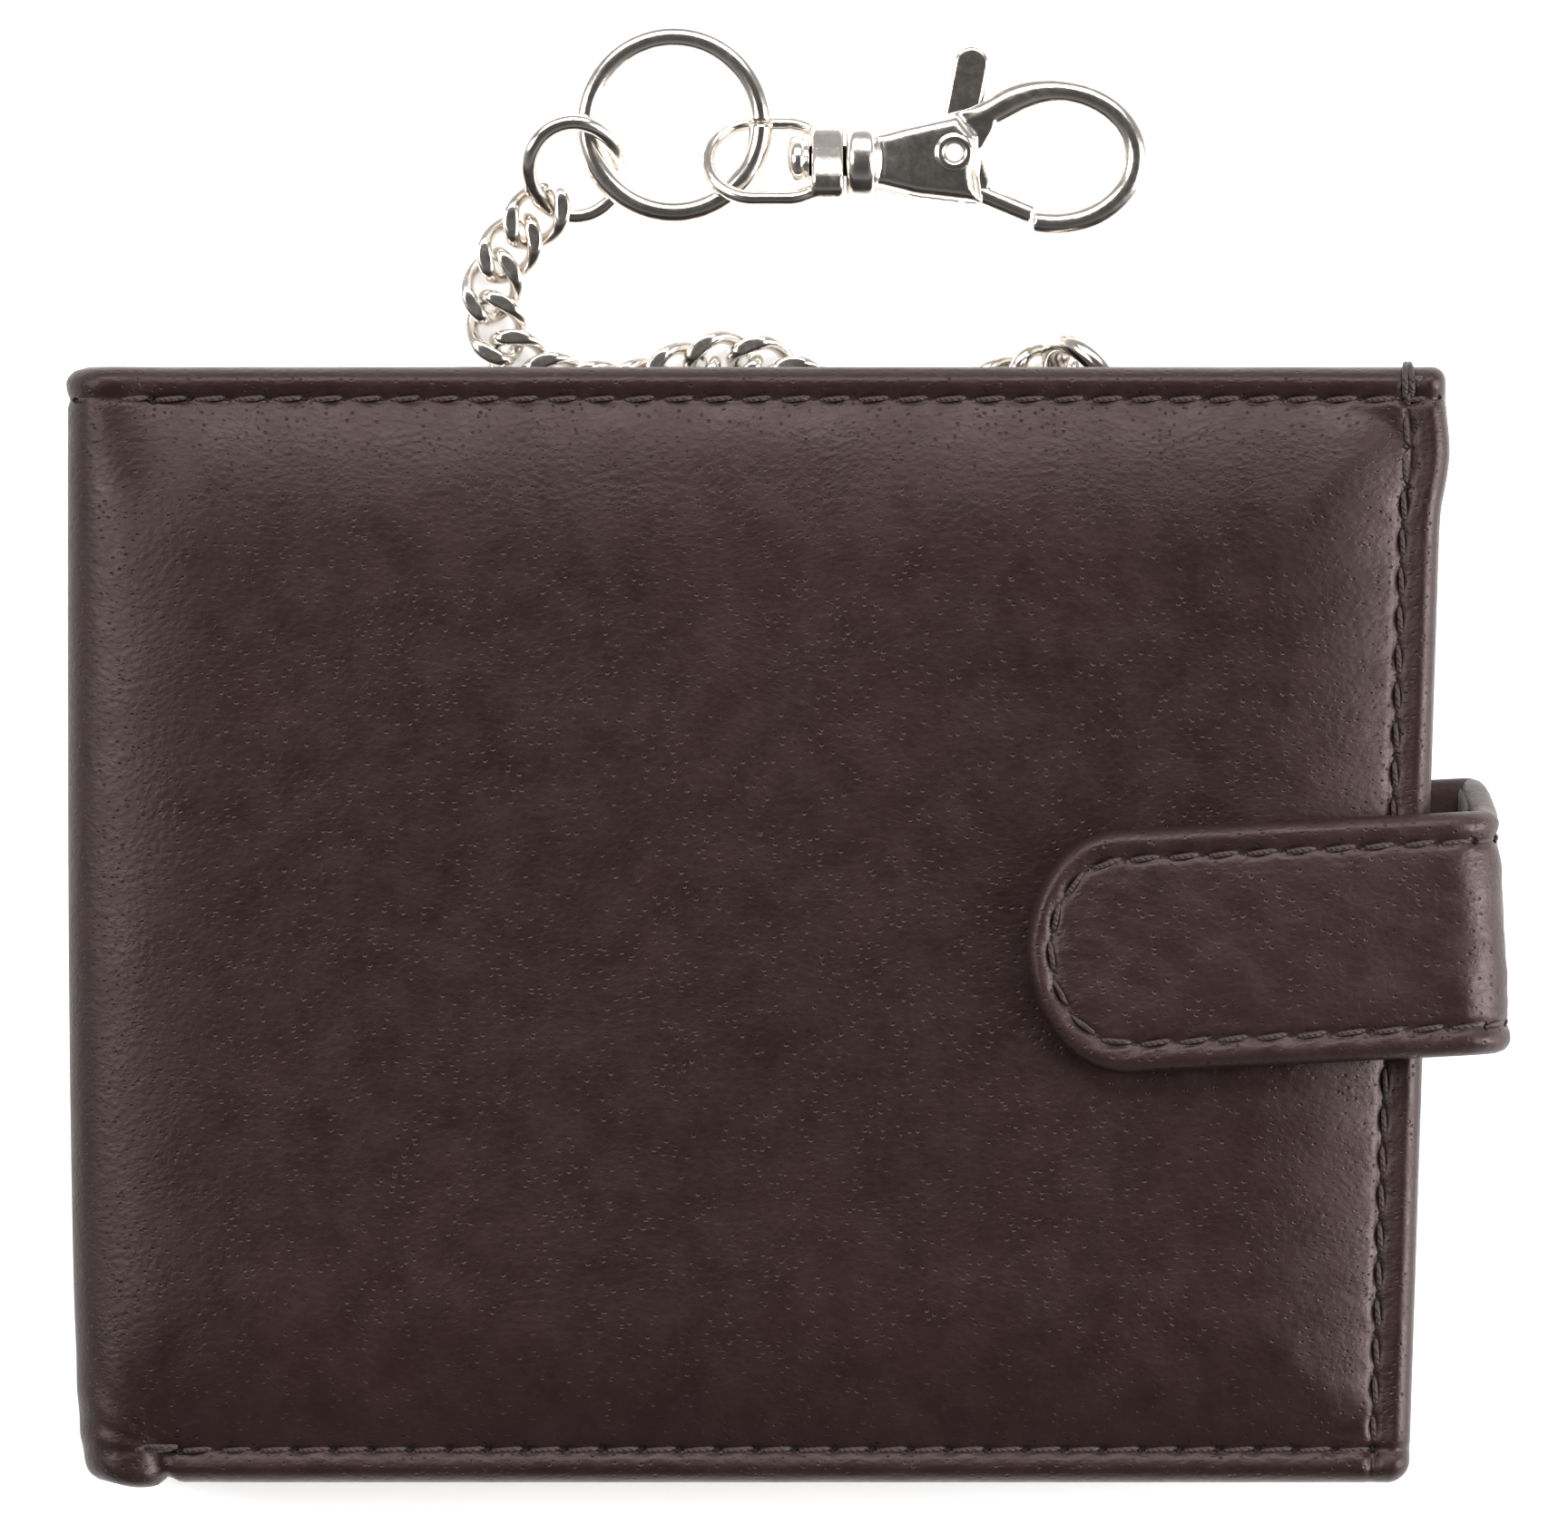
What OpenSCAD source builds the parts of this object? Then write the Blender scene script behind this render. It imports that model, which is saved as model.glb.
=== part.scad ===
/* [Wallet] */
// Width of the closed wallet at its top edge
wallet_w = 115; // [105:0.5:125]
// Height from the bottom edge to the top edge
wallet_h = 93; // [88:0.5:98]
// How far the right edge leans in by the bottom
taper_right = 3; // [0:0.1:4]
// Radius of the corners
corner_r = 2.2; // [1:0.1:3]

/* [Leather] */
// Thickness of the outer leather
leather = 1.5; // [1.2:0.1:1.6]
// Thickness of a lining or a pocket panel
panel = 0.5; // [0.4:0.05:0.5]
// Diameter of the sewing thread
thread_d = 0.5; // [0.4:0.1:0.6]

/* [Strap] */
// Width of the strap
strap_w = 20.2; // [18:0.2:22]
// Thickness of the outer leather of the strap
strap_leather = 1.5; // [1.2:0.1:1.6]
// Thickness of the strap lining
strap_lining = 1.0; // [0.8:0.1:1.1]
// Angle of the strap to the bottom edge
strap_angle = 3; // [0:0.5:4]

/* [Chain and clasp] */
// Distance from one chain link to the next
link_pitch = 3.6; // [3.55:0.05:3.7]
// Diameter of the chain wire
link_wire = 1.35; // [1.2:0.05:1.4]
// Radius of the key ring to the middle of its wire
key_ring_r = 7.4; // [7.2:0.05:7.5]
// How far the free end of the gate opens, in degrees
gate_open = 0; // [0:1:20]

/* [Hidden] */

$fn = 48;
gap = 0.3;
hair = 0.05;
left_x = -wallet_w / 2;
right_x = wallet_w / 2;
top_y = wallet_h / 2;

// Heights of the layers, from the table up
rim_low = 4.1;
rim_panel = 5.2;
back_rim_top = 9.3;
split_low = 11;
split_high = 11.3;
front_rim_low = 14.4;
cover_top = 20;

// Fold lines of the spine, and of the strap
fold_x = left_x + 1.9;
fold_low = 4;
fold_high = 16;
fold_r = 1.9;
half_left = fold_x + fold_r + gap;
strap_x = 60.9;
strap_low = 3.6;
strap_fold_r = (strap_leather + strap_lining) / 2;
strap_high = cover_top + gap + strap_fold_r;
strap_mid_y = -0.55;
tab_length = 38.5;
tab_end = 8;
snap_from_fold = 29.5;
post_r = 0.9;
post_flange = 0.5;
post_flange_r = 3;

leather_colour = [0.2, 0.15, 0.15];
lining_colour = [0.3, 0.22, 0.2];
thread_colour = [0.24, 0.13, 0.12];
metal_colour = [0.78, 0.76, 0.73];

// Corners of a half of the wallet, counter-clockwise from the lower left
function half_corners() = [
    [half_left, -top_y],
    [right_x - taper_right, -top_y],
    [right_x, top_y],
    [half_left, top_y]
];

// One rounded corner, set in by d, as arc points
function corner_arc(c, sx, sy, from, r, d, steps = 5) =
    let (re = max(r - d, 0.3), m = [c.x + sx * (d + re), c.y + sy * (d + re)])
    [for (i = [0:steps]) let (a = from + 90 * i / steps) [m.x + re * cos(a), m.y + re * sin(a)]];

// Outline of a half, set in by d all round
function half_outline(d, r = corner_r) =
    let (c = half_corners())
    concat(
        corner_arc(c[0], 1, 1, 180, r, d),
        corner_arc(c[1], -1, 1, 270, r, d),
        corner_arc(c[2], -1, -1, 0, r, d),
        corner_arc(c[3], 1, -1, 90, r, d)
    );

// A closed skin through rings of points, capped at both ends
module skin(rings) {
    n = len(rings[0]);
    m = len(rings);
    points = [for (ring = rings) each ring];
    sides = [for (j = [0:m - 2], i = [0:n - 1])
        let (a = j * n + i, b = j * n + (i + 1) % n)
        each [[a, a + n, b + n], [a, b + n, b]]];
    first = [for (i = [0:n - 1]) i];
    last = [for (i = [n - 1:-1:0]) (m - 1) * n + i];
    polyhedron(points = points, faces = concat([first], sides, [last]), convexity = 8);
}

function raised(outline, z) = [for (p = outline) [p.x, p.y, z]];

// Layers of a half, as pairs of inset and height
module shaped_half(levels) {
    skin([for (v = levels) raised(half_outline(v[0]), v[1])]);
}

// A flat sheet that covers a half, from z up
module sheet(inset, z, t, short = 0) {
    translate([0, 0, z]) linear_extrude(t) intersection() {
        polygon(half_outline(inset));
        translate([left_x, -top_y]) square([wallet_w, wallet_h - short]);
    }
}

// A tube through a list of points, round a list of frames
function unit(v) = v / norm(v);
function tube_ring(p, along, r, sides) =
    let (w = abs(along.z) > 0.9 ? [1, 0, 0] : [0, 0, 1], u = unit(cross(along, w)), v = cross(along, u))
    [for (k = [0:sides - 1]) let (a = 360 * k / sides) p + r * (cos(a) * u + sin(a) * v)];

function path_dir(path, i, closed) =
    let (n = len(path))
    closed ? unit(path[(i + 1) % n] - path[(i + n - 1) % n])
    : unit(path[min(i + 1, n - 1)] - path[max(i - 1, 0)]);

module open_tube(path, r, sides = 10) {
    skin([for (i = [0:len(path) - 1]) tube_ring(path[i], path_dir(path, i, false), r, sides)]);
}

module closed_tube(path, r, sides = 8) {
    n = len(path);
    points = [for (i = [0:n - 1]) each tube_ring(path[i], path_dir(path, i, true), r, sides)];
    faces = [for (j = [0:n - 1], i = [0:sides - 1])
        let (k = (j + 1) % n, a = j * sides + i, b = j * sides + (i + 1) % sides,
            c = k * sides + i, d = k * sides + (i + 1) % sides)
        each [[a, c, d], [a, d, b]]];
    polyhedron(points = points, faces = faces, convexity = 6);
}

// Seam of a half, along three sides, at a height
function seam(inset, from_x, z) = [
    [from_x, -top_y + inset, z],
    [right_x - taper_right - inset - 0.6, -top_y + inset, z],
    [right_x - inset - 0.6, top_y - inset, z],
    [half_left + 1, top_y - inset, z]
];

module bead(a, b) {
    length = norm(b - a);
    turn = atan2(b.y - a.y, b.x - a.x);
    translate(a) rotate([0, 0, turn]) rotate([0, 90, 0]) cylinder(h = length, d = thread_d, $fn = 16);
}

module seam_beads(points) {
    for (i = [0:len(points) - 2]) {
        step = unit(points[i + 1] - points[i]) * thread_d;
        bead(points[i] + step, points[i + 1] - step);
    }
}

// ---- Back half ----

eyelet = [30.1, 42.9];
eyelet_bore = 2.1;

module back_cover() {
    color(leather_colour) difference() {
        shaped_half([
            [13.5, 0], [11, 0.8], [9, rim_low], [1.4, rim_low], [0, 5], [0, back_rim_top],
            [leather, back_rim_top], [leather, rim_panel], [8.7, rim_panel], [10.8, 2.3], [13.8, leather]
        ]);
        translate([left_x, top_y - leather - 0.6, rim_panel]) cube([wallet_w, 5, 6]);
        translate([eyelet.x, eyelet.y, 0]) cylinder(h = 8, r = eyelet_bore + 0.4);
    }
}

module back_stiffener() {
    color([0.45, 0.4, 0.35]) sheet(14.5, leather + hair, 0.8);
}

module note_pocket() {
    color(lining_colour) sheet(15, leather + 0.8 + 3 * hair, panel);
}

module back_lining() {
    color(lining_colour) sheet(0.6, back_rim_top + hair, panel);
}

module card_pocket_4() {
    color(leather_colour) sheet(1.2, back_rim_top + panel + 2 * hair, panel, 16);
}

module card_pocket_5() {
    color(leather_colour) sheet(1.2, split_low - panel, panel, 27);
}

module back_thread() {
    z = rim_low - thread_d / 2 - 0.02;
    color(thread_colour) difference() {
        seam_beads(seam(3.2, half_left + 1, z));
        translate([eyelet.x, eyelet.y, 0]) cylinder(h = 8, r = eyelet_bore + 1.2);
    }
}

module chain_eyelet() {
    inner = eyelet_bore;
    color(metal_colour) translate([eyelet.x, eyelet.y, 0]) difference() {
        union() {
            translate([0, 0, rim_low - 0.4]) cylinder(h = rim_panel - rim_low + 0.8, r = inner + 0.35);
            translate([0, 0, rim_low - 0.45]) cylinder(h = 0.42, r = inner + 0.95);
            translate([0, 0, rim_panel + 0.03]) cylinder(h = 0.42, r = inner + 0.95);
        }
        cylinder(h = 10, r = inner);
    }
}

// ---- Strap, drawn in its own frame: x along it from the lower fold, y across it ----

module strap_frame() {
    translate([strap_x, strap_mid_y, 0]) rotate([0, 0, strap_angle]) children();
}

// Extrudes a side profile, drawn in x and z, across the strap
module across(width) {
    translate([0, width / 2, 0]) rotate([90, 0, 0]) linear_extrude(width) children();
}

module strap_anchor() {
    reach = 9;
    color(leather_colour) strap_frame() across(strap_w - 1) {
        difference() {
            union() {
                translate([-reach, strap_low - 0.9]) square([reach, 0.8]);
                translate([0, strap_low]) circle(r = strap_fold_r - 0.35);
            }
            translate([-reach, strap_low + 0.05]) square([reach - 1, 3]);
        }
    }
}

module strap_loop_leather() {
    color(leather_colour) strap_frame() across(strap_w) difference() {
        union() {
            translate([strap_fold_r - strap_leather, strap_low]) square([strap_leather, strap_high - strap_low]);
            translate([0, strap_low]) circle(r = strap_fold_r);
        }
        translate([0, strap_low]) circle(r = strap_fold_r - 0.3);
        translate([0, strap_high]) circle(r = strap_fold_r + gap);
        translate([-3, strap_low - 3]) square([3, 6]);
        translate([-3, strap_low - 3]) square([6, 3]);
    }
}

module strap_loop_lining() {
    color(lining_colour) strap_frame() across(strap_w - 0.6)
        translate([-strap_fold_r, strap_low + 2]) square([strap_lining - 0.05, strap_high - strap_low - 4]);
}

// Outline of the tab: a straight strip with a blunt round free end
function tab_outline(d) =
    let (h = strap_w / 2 - d, end = -tab_length + tab_end)
    concat(
        [[0, -h], [0, h]],
        [for (i = [0:12]) let (a = 90 + 15 * i) [end + (tab_end - d) * cos(a), h * sin(a)]]
    );

module tab_slice(z, t, d = 0) {
    translate([0, 0, strap_high + z]) linear_extrude(t) polygon(tab_outline(d));
}

module strap_tab_leather() {
    top = strap_fold_r;
    color(leather_colour) strap_frame() difference() {
        union() {
            tab_slice(top - strap_leather, strap_leather);
            across(strap_w) translate([0, strap_high]) circle(r = strap_fold_r);
        }
        translate([-snap_from_fold, 0, strap_high - 3]) cylinder(h = 3 + top - strap_leather + 0.5, r = 4.2);
    }
}

module strap_tab_lining() {
    color(lining_colour) strap_frame() difference() {
        tab_slice(-strap_fold_r, strap_lining - 0.05, 0.3);
        translate([-1.6, -strap_w, 0]) cube([4, 2 * strap_w, 40]);
        translate([-snap_from_fold, 0, 0]) cylinder(h = 40, r = 4.2);
    }
}

module strap_thread() {
    inset = 2.5;
    z = strap_high + strap_fold_r + thread_d / 2 + 0.02;
    edge = [for (p = tab_outline(inset)) [p.x, p.y, z]];
    count = len(edge);
    color(thread_colour) strap_frame() for (i = [1:count - 2])
        bead(edge[i] + unit(edge[i + 1] - edge[i]) * 0.35, edge[i + 1] - unit(edge[i + 1] - edge[i]) * 0.35);
    color(thread_colour) strap_frame()
        bead(edge[count - 1] + [0.4, 0, 0], [-1, edge[count - 1].y, z]);
}

module snap_cap() {
    color(metal_colour) strap_frame() translate([-snap_from_fold, 0, strap_high + strap_fold_r - strap_leather])
        cylinder(h = 0.45, r = 4.1);
}

module snap_socket() {
    z = strap_high - strap_fold_r;
    color(metal_colour) strap_frame() translate([-snap_from_fold, 0, z]) difference() {
        cylinder(h = strap_lining - 0.05, r = 4.1);
        translate([0, 0, -1]) cylinder(h = 3, r = 2.3);
    }
}

// ---- Spine ----

module spine_across(width) {
    translate([0, width / 2, 0]) rotate([90, 0, 0]) linear_extrude(width) children();
}

module spine_leather() {
    color(leather_colour) spine_across(wallet_h - 1) {
        translate([fold_x, fold_low]) circle(r = fold_r);
        translate([fold_x, fold_high]) circle(r = fold_r);
        translate([fold_x - fold_r, fold_low]) square([leather, fold_high - fold_low]);
    }
}

module spine_lining() {
    color(lining_colour) spine_across(wallet_h - 2)
        translate([fold_x - fold_r + leather + hair, fold_low + fold_r + hair])
            square([panel, fold_high - fold_low - 2 * fold_r - 2 * hair]);
}

// ---- Front half ----

module front_cover() {
    color(leather_colour) difference() {
        shaped_half([
            [14.2, cover_top - leather], [8.6, 17.9], [4.4, 16.6], [leather, 16], [leather, front_rim_low],
            [0, front_rim_low], [0, 16.4], [0.9, 17.6], [2.6, 17.7], [3.6, 17.5], [8, 19.3], [14, cover_top]
        ]);
        snap_place() translate([0, 0, -3]) cylinder(h = 6, r = post_r + hair);
    }
}

module front_padding() {
    low = front_rim_low + hair;
    color([0.6, 0.57, 0.52]) difference() {
        shaped_half([[2, low], [2, 15.7], [4.9, 16.3], [9, 17.5], [14.6, 18.3]]);
        snap_place() translate([0, 0, -leather - 1]) cylinder(h = 3, r = post_flange_r + 0.2);
    }
}

module front_lining() {
    color(lining_colour) sheet(0.6, front_rim_low - panel - hair, panel);
}

front_step = (front_rim_low - panel - hair - split_high) / 4;

module card_pocket_1() {
    color(leather_colour) sheet(1.2, split_high + 3 * front_step, front_step - hair, 16);
}

module card_pocket_2() {
    color(leather_colour) sheet(1.2, split_high + 2 * front_step, front_step - hair, 27);
}

module card_pocket_3() {
    color(leather_colour) sheet(1.2, split_high + front_step, front_step - hair, 38);
}

module id_window() {
    color([0.8, 0.85, 0.88, 0.6]) translate([-42, -38, split_high]) cube([90, 40, front_step - hair]);
}

module front_thread() {
    z = 17.7 + thread_d / 2 + 0.05;
    color(thread_colour) seam_beads(seam(2.7, half_left + 5, z));
}

// Stud on the outside of the cover, and the post that is riveted into it from behind
module snap_place() {
    strap_frame() translate([-snap_from_fold, 0, cover_top]) children();
}

module snap_stud() {
    color(metal_colour) snap_place() translate([0, 0, 0.02]) difference() {
        cylinder(h = strap_lining + 0.1, r = 1.7);
        translate([0, 0, -1]) cylinder(h = 1.6, r = post_r + hair);
    }
}

module snap_post() {
    color(metal_colour) snap_place() {
        translate([0, 0, -leather - post_flange]) cylinder(h = post_flange - hair, r = post_flange_r);
        translate([0, 0, -leather - post_flange]) cylinder(h = leather + post_flange + 0.5, r = post_r);
    }
}

// ---- Chain ----

chain_z = 1.66;
link_a = 2.8;
link_b = 2.15;
link_twist = -55;
chain_start = [-18.6, 59.9];
// Direction from each link to the next, from the hook end to the wallet end
chain_headings = [230, 245, 276, 305, 332, 350, 364, 382, 374, 352, 330, 332, 352, 364, 372, 382, 380];
link_count = len(chain_headings) + 1;
link_rise = [0.5, 0.22];
// The link on the ring at the wallet end is rolled a little and sits higher
end_link_rise = 0.25;
end_link_twist = -60;
end_link_roll = -9.6;

function link_place(i) = i == 0 ? chain_start
    : link_place(i - 1) + link_pitch * [cos(chain_headings[i - 1]), sin(chain_headings[i - 1])];
function link_heading(i) =
    i == 0 ? chain_headings[0]
    : i == link_count - 1 ? chain_headings[i - 1]
    : (chain_headings[i - 1] + chain_headings[i]) / 2;
function is_end_link(i) = i == link_count - 1;
function link_height(i) =
    chain_z + (is_end_link(i) ? end_link_rise : i < len(link_rise) ? link_rise[i] : 0);

function link_path(twist, roll) = [for (k = [0:15])
    let (t = 360 * k / 16, w = link_b * sin(t), turn = twist * cos(t) + roll)
    [link_a * cos(t), w * cos(turn), w * sin(turn)]];

module chain_links(first, last) {
    color(metal_colour) for (i = [first:last])
        translate([link_place(i).x, link_place(i).y, link_height(i)]) rotate([0, 0, link_heading(i)])
            closed_tube(
                is_end_link(i) ? link_path(end_link_twist, end_link_roll) : link_path(link_twist, 0),
                link_wire / 2, 6
            );
}

module chain_links_a() {
    chain_links(14, link_count - 1);
}

module chain_links_b() {
    chain_links(9, 13);
}

module chain_links_c() {
    chain_links(4, 8);
}

module chain_links_d() {
    chain_links(0, 3);
}

// Ring through the eyelet, leaning steeply out of the flat
end_ring_mid = [27.7, 45.84, 4.51];
end_ring_r = 3.84;
end_ring_wire = 1.9;
end_ring_turn = 39.3;
end_ring_lean = 66.9;

module wallet_end_ring() {
    color(metal_colour) translate(end_ring_mid) rotate([0, 0, end_ring_turn]) rotate([0, -end_ring_lean, 0])
        rotate_extrude() translate([end_ring_r, 0]) circle(d = end_ring_wire);
}

// Sprung-open ring that holds the chain and the key ring
key_mid = [-7, 67.5, 3.4];
hook_ring_mid = [-15.4, 63.7];
hook_ring_r = 3.85;
hook_ring_wire = 1.5;
hook_ring_rise = 2.3;
hook_ring_phase = 26;
hook_ring_from = 6;
hook_ring_to = 352;

function hook_ring_z(a) =
    let (s = sin(a - hook_ring_phase)) key_mid.z + hook_ring_rise * s * (3 - s * s) / 2;

module hook_end_ring() {
    steps = 36;
    path = [for (i = [0:steps])
        let (a = hook_ring_from + (hook_ring_to - hook_ring_from) * i / steps)
        [hook_ring_mid.x + hook_ring_r * cos(a), hook_ring_mid.y + hook_ring_r * sin(a), hook_ring_z(a)]];
    color(metal_colour) open_tube(path, hook_ring_wire / 2, 10);
}

module key_ring() {
    split = 1.6;
    color(metal_colour) translate(key_mid) rotate([0, 0, split]) rotate_extrude(angle = 360 - split)
        translate([key_ring_r, 0]) circle(d = 2);
}

// ---- Clasp ----

axis_y = 64.4;
axis_z = 3.6;
eye_tilt = -32;
eye_wire = 1.2;
eye_half = 3.83;
eye_mid_x = -0.3;
band_from = 4.6;
band_to = 7.4;
pin_r = 1.3;
rivet = [16.7, 65];
rivet_r = 1.35;
body_t = 4.2;
lever_t = 1.6;
slot_t = 1.9;

module clasp_frame() {
    translate([0, axis_y, axis_z]) children();
}

module along_x(x, length, r) {
    translate([x, 0, 0]) rotate([0, 90, 0]) cylinder(h = length, r = r);
}

module swivel_eye() {
    color(metal_colour) clasp_frame() rotate([eye_tilt, 0, 0]) difference() {
        union() {
            for (s = [-1, 1]) translate([0, s * eye_half, 0]) along_x(eye_mid_x, band_to - eye_mid_x, eye_wire / 2);
            translate([eye_mid_x, 0, 0]) rotate([0, 0, 90]) rotate_extrude(angle = 180)
                translate([eye_half, 0]) circle(d = eye_wire);
            translate([band_from, -eye_half, -1.8]) cube([band_to - band_from, 2 * eye_half, 3.6]);
        }
        along_x(band_from - 1, 5, pin_r + 0.1);
    }
}

module swivel_pin() {
    color(metal_colour) clasp_frame() {
        along_x(2.6, 1.85, 2.15);
        along_x(4.4, 5, pin_r);
    }
}

// Hook from the top of the body round to its tip, as an ellipse in the flat
hook_mid = [25.2, 64.7];
hook_half = [6.9, 5.6];
hook_wire = 2.1;

function hook_point(a) = [hook_mid.x + hook_half.x * cos(a), hook_mid.y + hook_half.y * sin(a), axis_z];

module hook_body() {
    outline = [
        [10, 62.1], [17.6, 60.5], [19, 60.8], [19.5, 61.7], [18.9, 63.4], [19.2, 65.4],
        [20.6, 67.2], [23.4, 68.6], [23.4, 70.6], [12, 67.6], [10, 66.9]
    ];
    color(metal_colour) difference() {
        union() {
            clasp_frame() along_x(7.6, 2.7, 3.5);
            translate([0, 0, axis_z - body_t / 2]) linear_extrude(body_t) polygon(outline);
            open_tube([for (i = [0:24]) hook_point(112 - 8.9 * i)], hook_wire / 2, 10);
        }
        clasp_frame() along_x(7, 2.6, pin_r + 0.02);
        translate([12.8, 58, axis_z - slot_t / 2]) cube([6.9, 14, slot_t]);
        translate([rivet.x, rivet.y, 0]) cylinder(h = 10, r = rivet_r + 0.02);
    }
}

module hook_rivet() {
    color(metal_colour) translate([rivet.x, rivet.y, axis_z - body_t / 2 - 0.25]) difference() {
        cylinder(h = body_t + 0.5, r = rivet_r);
        translate([0, 0, -1]) cylinder(h = 10, r = 0.75);
    }
}

// Thumb tab above the rivet and gate bar below it, in one piece
module gate_lever() {
    color(metal_colour) translate([rivet.x, rivet.y, 0]) rotate([0, 0, gate_open]) difference() {
        union() {
            translate([0, 0, axis_z - lever_t / 2]) linear_extrude(lever_t) {
                circle(r = 2.3);
                rotate(-11) translate([-1.65, 0]) square([3.3, 7.7]);
                rotate(-11) translate([0, 7.7]) circle(r = 1.65);
                polygon([[-2, -1], [1.9, 1], [3.1, -2.6], [2.4, -4.1], [0.4, -4.1]]);
            }
            translate([2.3, -3.4, axis_z]) rotate([0, 0, -22.5]) rotate([0, 90, 0]) cylinder(h = 4.4, r = 0.9);
        }
        translate([0, 0, -1]) cylinder(h = 10, r = rivet_r + 0.04);
    }
}

module gate_spring() {
    color(metal_colour) translate([0, 0, axis_z - 0.6]) linear_extrude(1.2)
        polygon([[12.85, 62.9], [15.6, 61.3], [16.2, 61.3], [16.2, 61.6], [12.95, 63.4]]);
}

back_cover();
back_stiffener();
note_pocket();
back_lining();
card_pocket_4();
card_pocket_5();
back_thread();
chain_eyelet();
strap_anchor();
spine_leather();
spine_lining();
front_cover();
front_padding();
front_lining();
card_pocket_1();
card_pocket_2();
card_pocket_3();
id_window();
front_thread();
snap_stud();
snap_post();
strap_loop_leather();
strap_loop_lining();
strap_tab_leather();
strap_tab_lining();
strap_thread();
snap_socket();
snap_cap();
wallet_end_ring();
chain_links_a();
chain_links_b();
chain_links_c();
chain_links_d();
hook_end_ring();
key_ring();
swivel_eye();
swivel_pin();
hook_body();
hook_rivet();
gate_lever();
gate_spring();
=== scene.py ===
"""Looks of the chain wallet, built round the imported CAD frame.

Lengths here are in millimetres until a mesh is made.
"""

import math

import bmesh
import bpy
import numpy as np
from mathutils import Matrix, Vector
from mathutils.bvhtree import BVHTree


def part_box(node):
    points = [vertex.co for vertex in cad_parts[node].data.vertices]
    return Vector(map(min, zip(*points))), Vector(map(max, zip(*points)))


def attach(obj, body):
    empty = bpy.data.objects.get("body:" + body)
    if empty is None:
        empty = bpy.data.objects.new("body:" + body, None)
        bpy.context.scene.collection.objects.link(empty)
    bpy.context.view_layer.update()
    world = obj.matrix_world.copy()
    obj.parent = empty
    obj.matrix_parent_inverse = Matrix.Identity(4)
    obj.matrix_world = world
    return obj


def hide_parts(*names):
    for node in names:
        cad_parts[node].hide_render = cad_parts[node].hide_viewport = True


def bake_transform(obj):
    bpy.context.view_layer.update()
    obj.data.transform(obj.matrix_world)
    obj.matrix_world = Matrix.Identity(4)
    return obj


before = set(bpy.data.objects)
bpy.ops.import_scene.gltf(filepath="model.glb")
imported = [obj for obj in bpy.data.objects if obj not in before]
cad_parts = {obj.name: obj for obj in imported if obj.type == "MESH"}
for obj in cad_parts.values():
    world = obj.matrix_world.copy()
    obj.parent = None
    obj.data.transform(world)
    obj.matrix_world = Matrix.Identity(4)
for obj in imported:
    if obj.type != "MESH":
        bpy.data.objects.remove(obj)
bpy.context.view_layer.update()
MM = 0.001
rng = np.random.default_rng(7)

# ---- Camera: straight above the closed wallet ----
CAMERA_X, CAMERA_Y, CAMERA_Z = 2.33, 13.14, 886.0
camera_data = bpy.data.cameras.new("camera")
camera_data.lens = 239.6
camera_data.sensor_width = 36
camera_data.clip_start = 0.01
camera_data.clip_end = 20
camera = bpy.data.objects.new("camera", camera_data)
camera.location = (CAMERA_X * MM, CAMERA_Y * MM, CAMERA_Z * MM)
bpy.context.scene.collection.objects.link(camera)
bpy.context.scene.camera = camera
bpy.context.scene.view_settings.view_transform = "Standard"

# ---- Places of the CAD, in millimetres ----
LEFT, HALF_H, TOP_RIGHT, TAPER = -57.5, 46.5, 57.5, 3.0
HALF_LEFT = -53.4
PITCH = 3.2
STRAP_X, STRAP_Y, STRAP_ANGLE = 60.9, -0.55, math.radians(3)
STRAP_LOW, STRAP_HIGH, STRAP_W = 3.6, 21.55, 20.2
STRAP_COS, STRAP_SIN = math.cos(STRAP_ANGLE), math.sin(STRAP_ANGLE)
SNAP_X = -29.5
RIVET_X, RIVET_Y = 16.7, 65.0
UP = (0, 0, 1)
# where the soft pieces bend: the two bodies, and the start and end of the bend
SPINE_HIGH_BEND = (("spine", "front_half"), (-57.5, 0, 12.5), (-52.5, 0, 18.5))
SPINE_LOW_BEND = (("back_half", "spine"), (-52.5, 0, 1.5), (-57.5, 0, 7.5))
STRAP_LOW_BEND = (("back_half", "strap_loop"), (57.0, 0, 1.5), (62.5, 0, 8.0))
STRAP_HIGH_BEND = (("strap_loop", "strap_tab"), (62.0, 0, 16.5), (55.0, 0, 23.5))


def right_edge(y):
    """X of the cover's right edge, which tapers in towards the bottom."""
    return TOP_RIGHT - TAPER * (HALF_H - y) / (2 * HALF_H)


def clamp(t):
    return np.clip(t, 0.0, 1.0)


def ease(t):
    t = clamp(t)
    return t * t * (3 - 2 * t)


def unit(vectors):
    return vectors / np.linalg.norm(vectors, axis=-1, keepdims=True)


# ---- Smooth noise made of a fixed set of waves ----
def wave_noise(seed, wavelength, count=14):
    r = np.random.default_rng(seed)
    angle = r.random(count) * 2 * np.pi
    k = 2 * np.pi / (wavelength * (0.6 + 0.9 * r.random(count)))
    phase = r.random(count) * 2 * np.pi

    def value(x, y):
        total = 0
        for a, f, p in zip(angle, k, phase):
            total = total + np.sin(f * (np.cos(a) * x + np.sin(a) * y) + p)
        return total / np.sqrt(count / 2)

    return value


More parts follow.
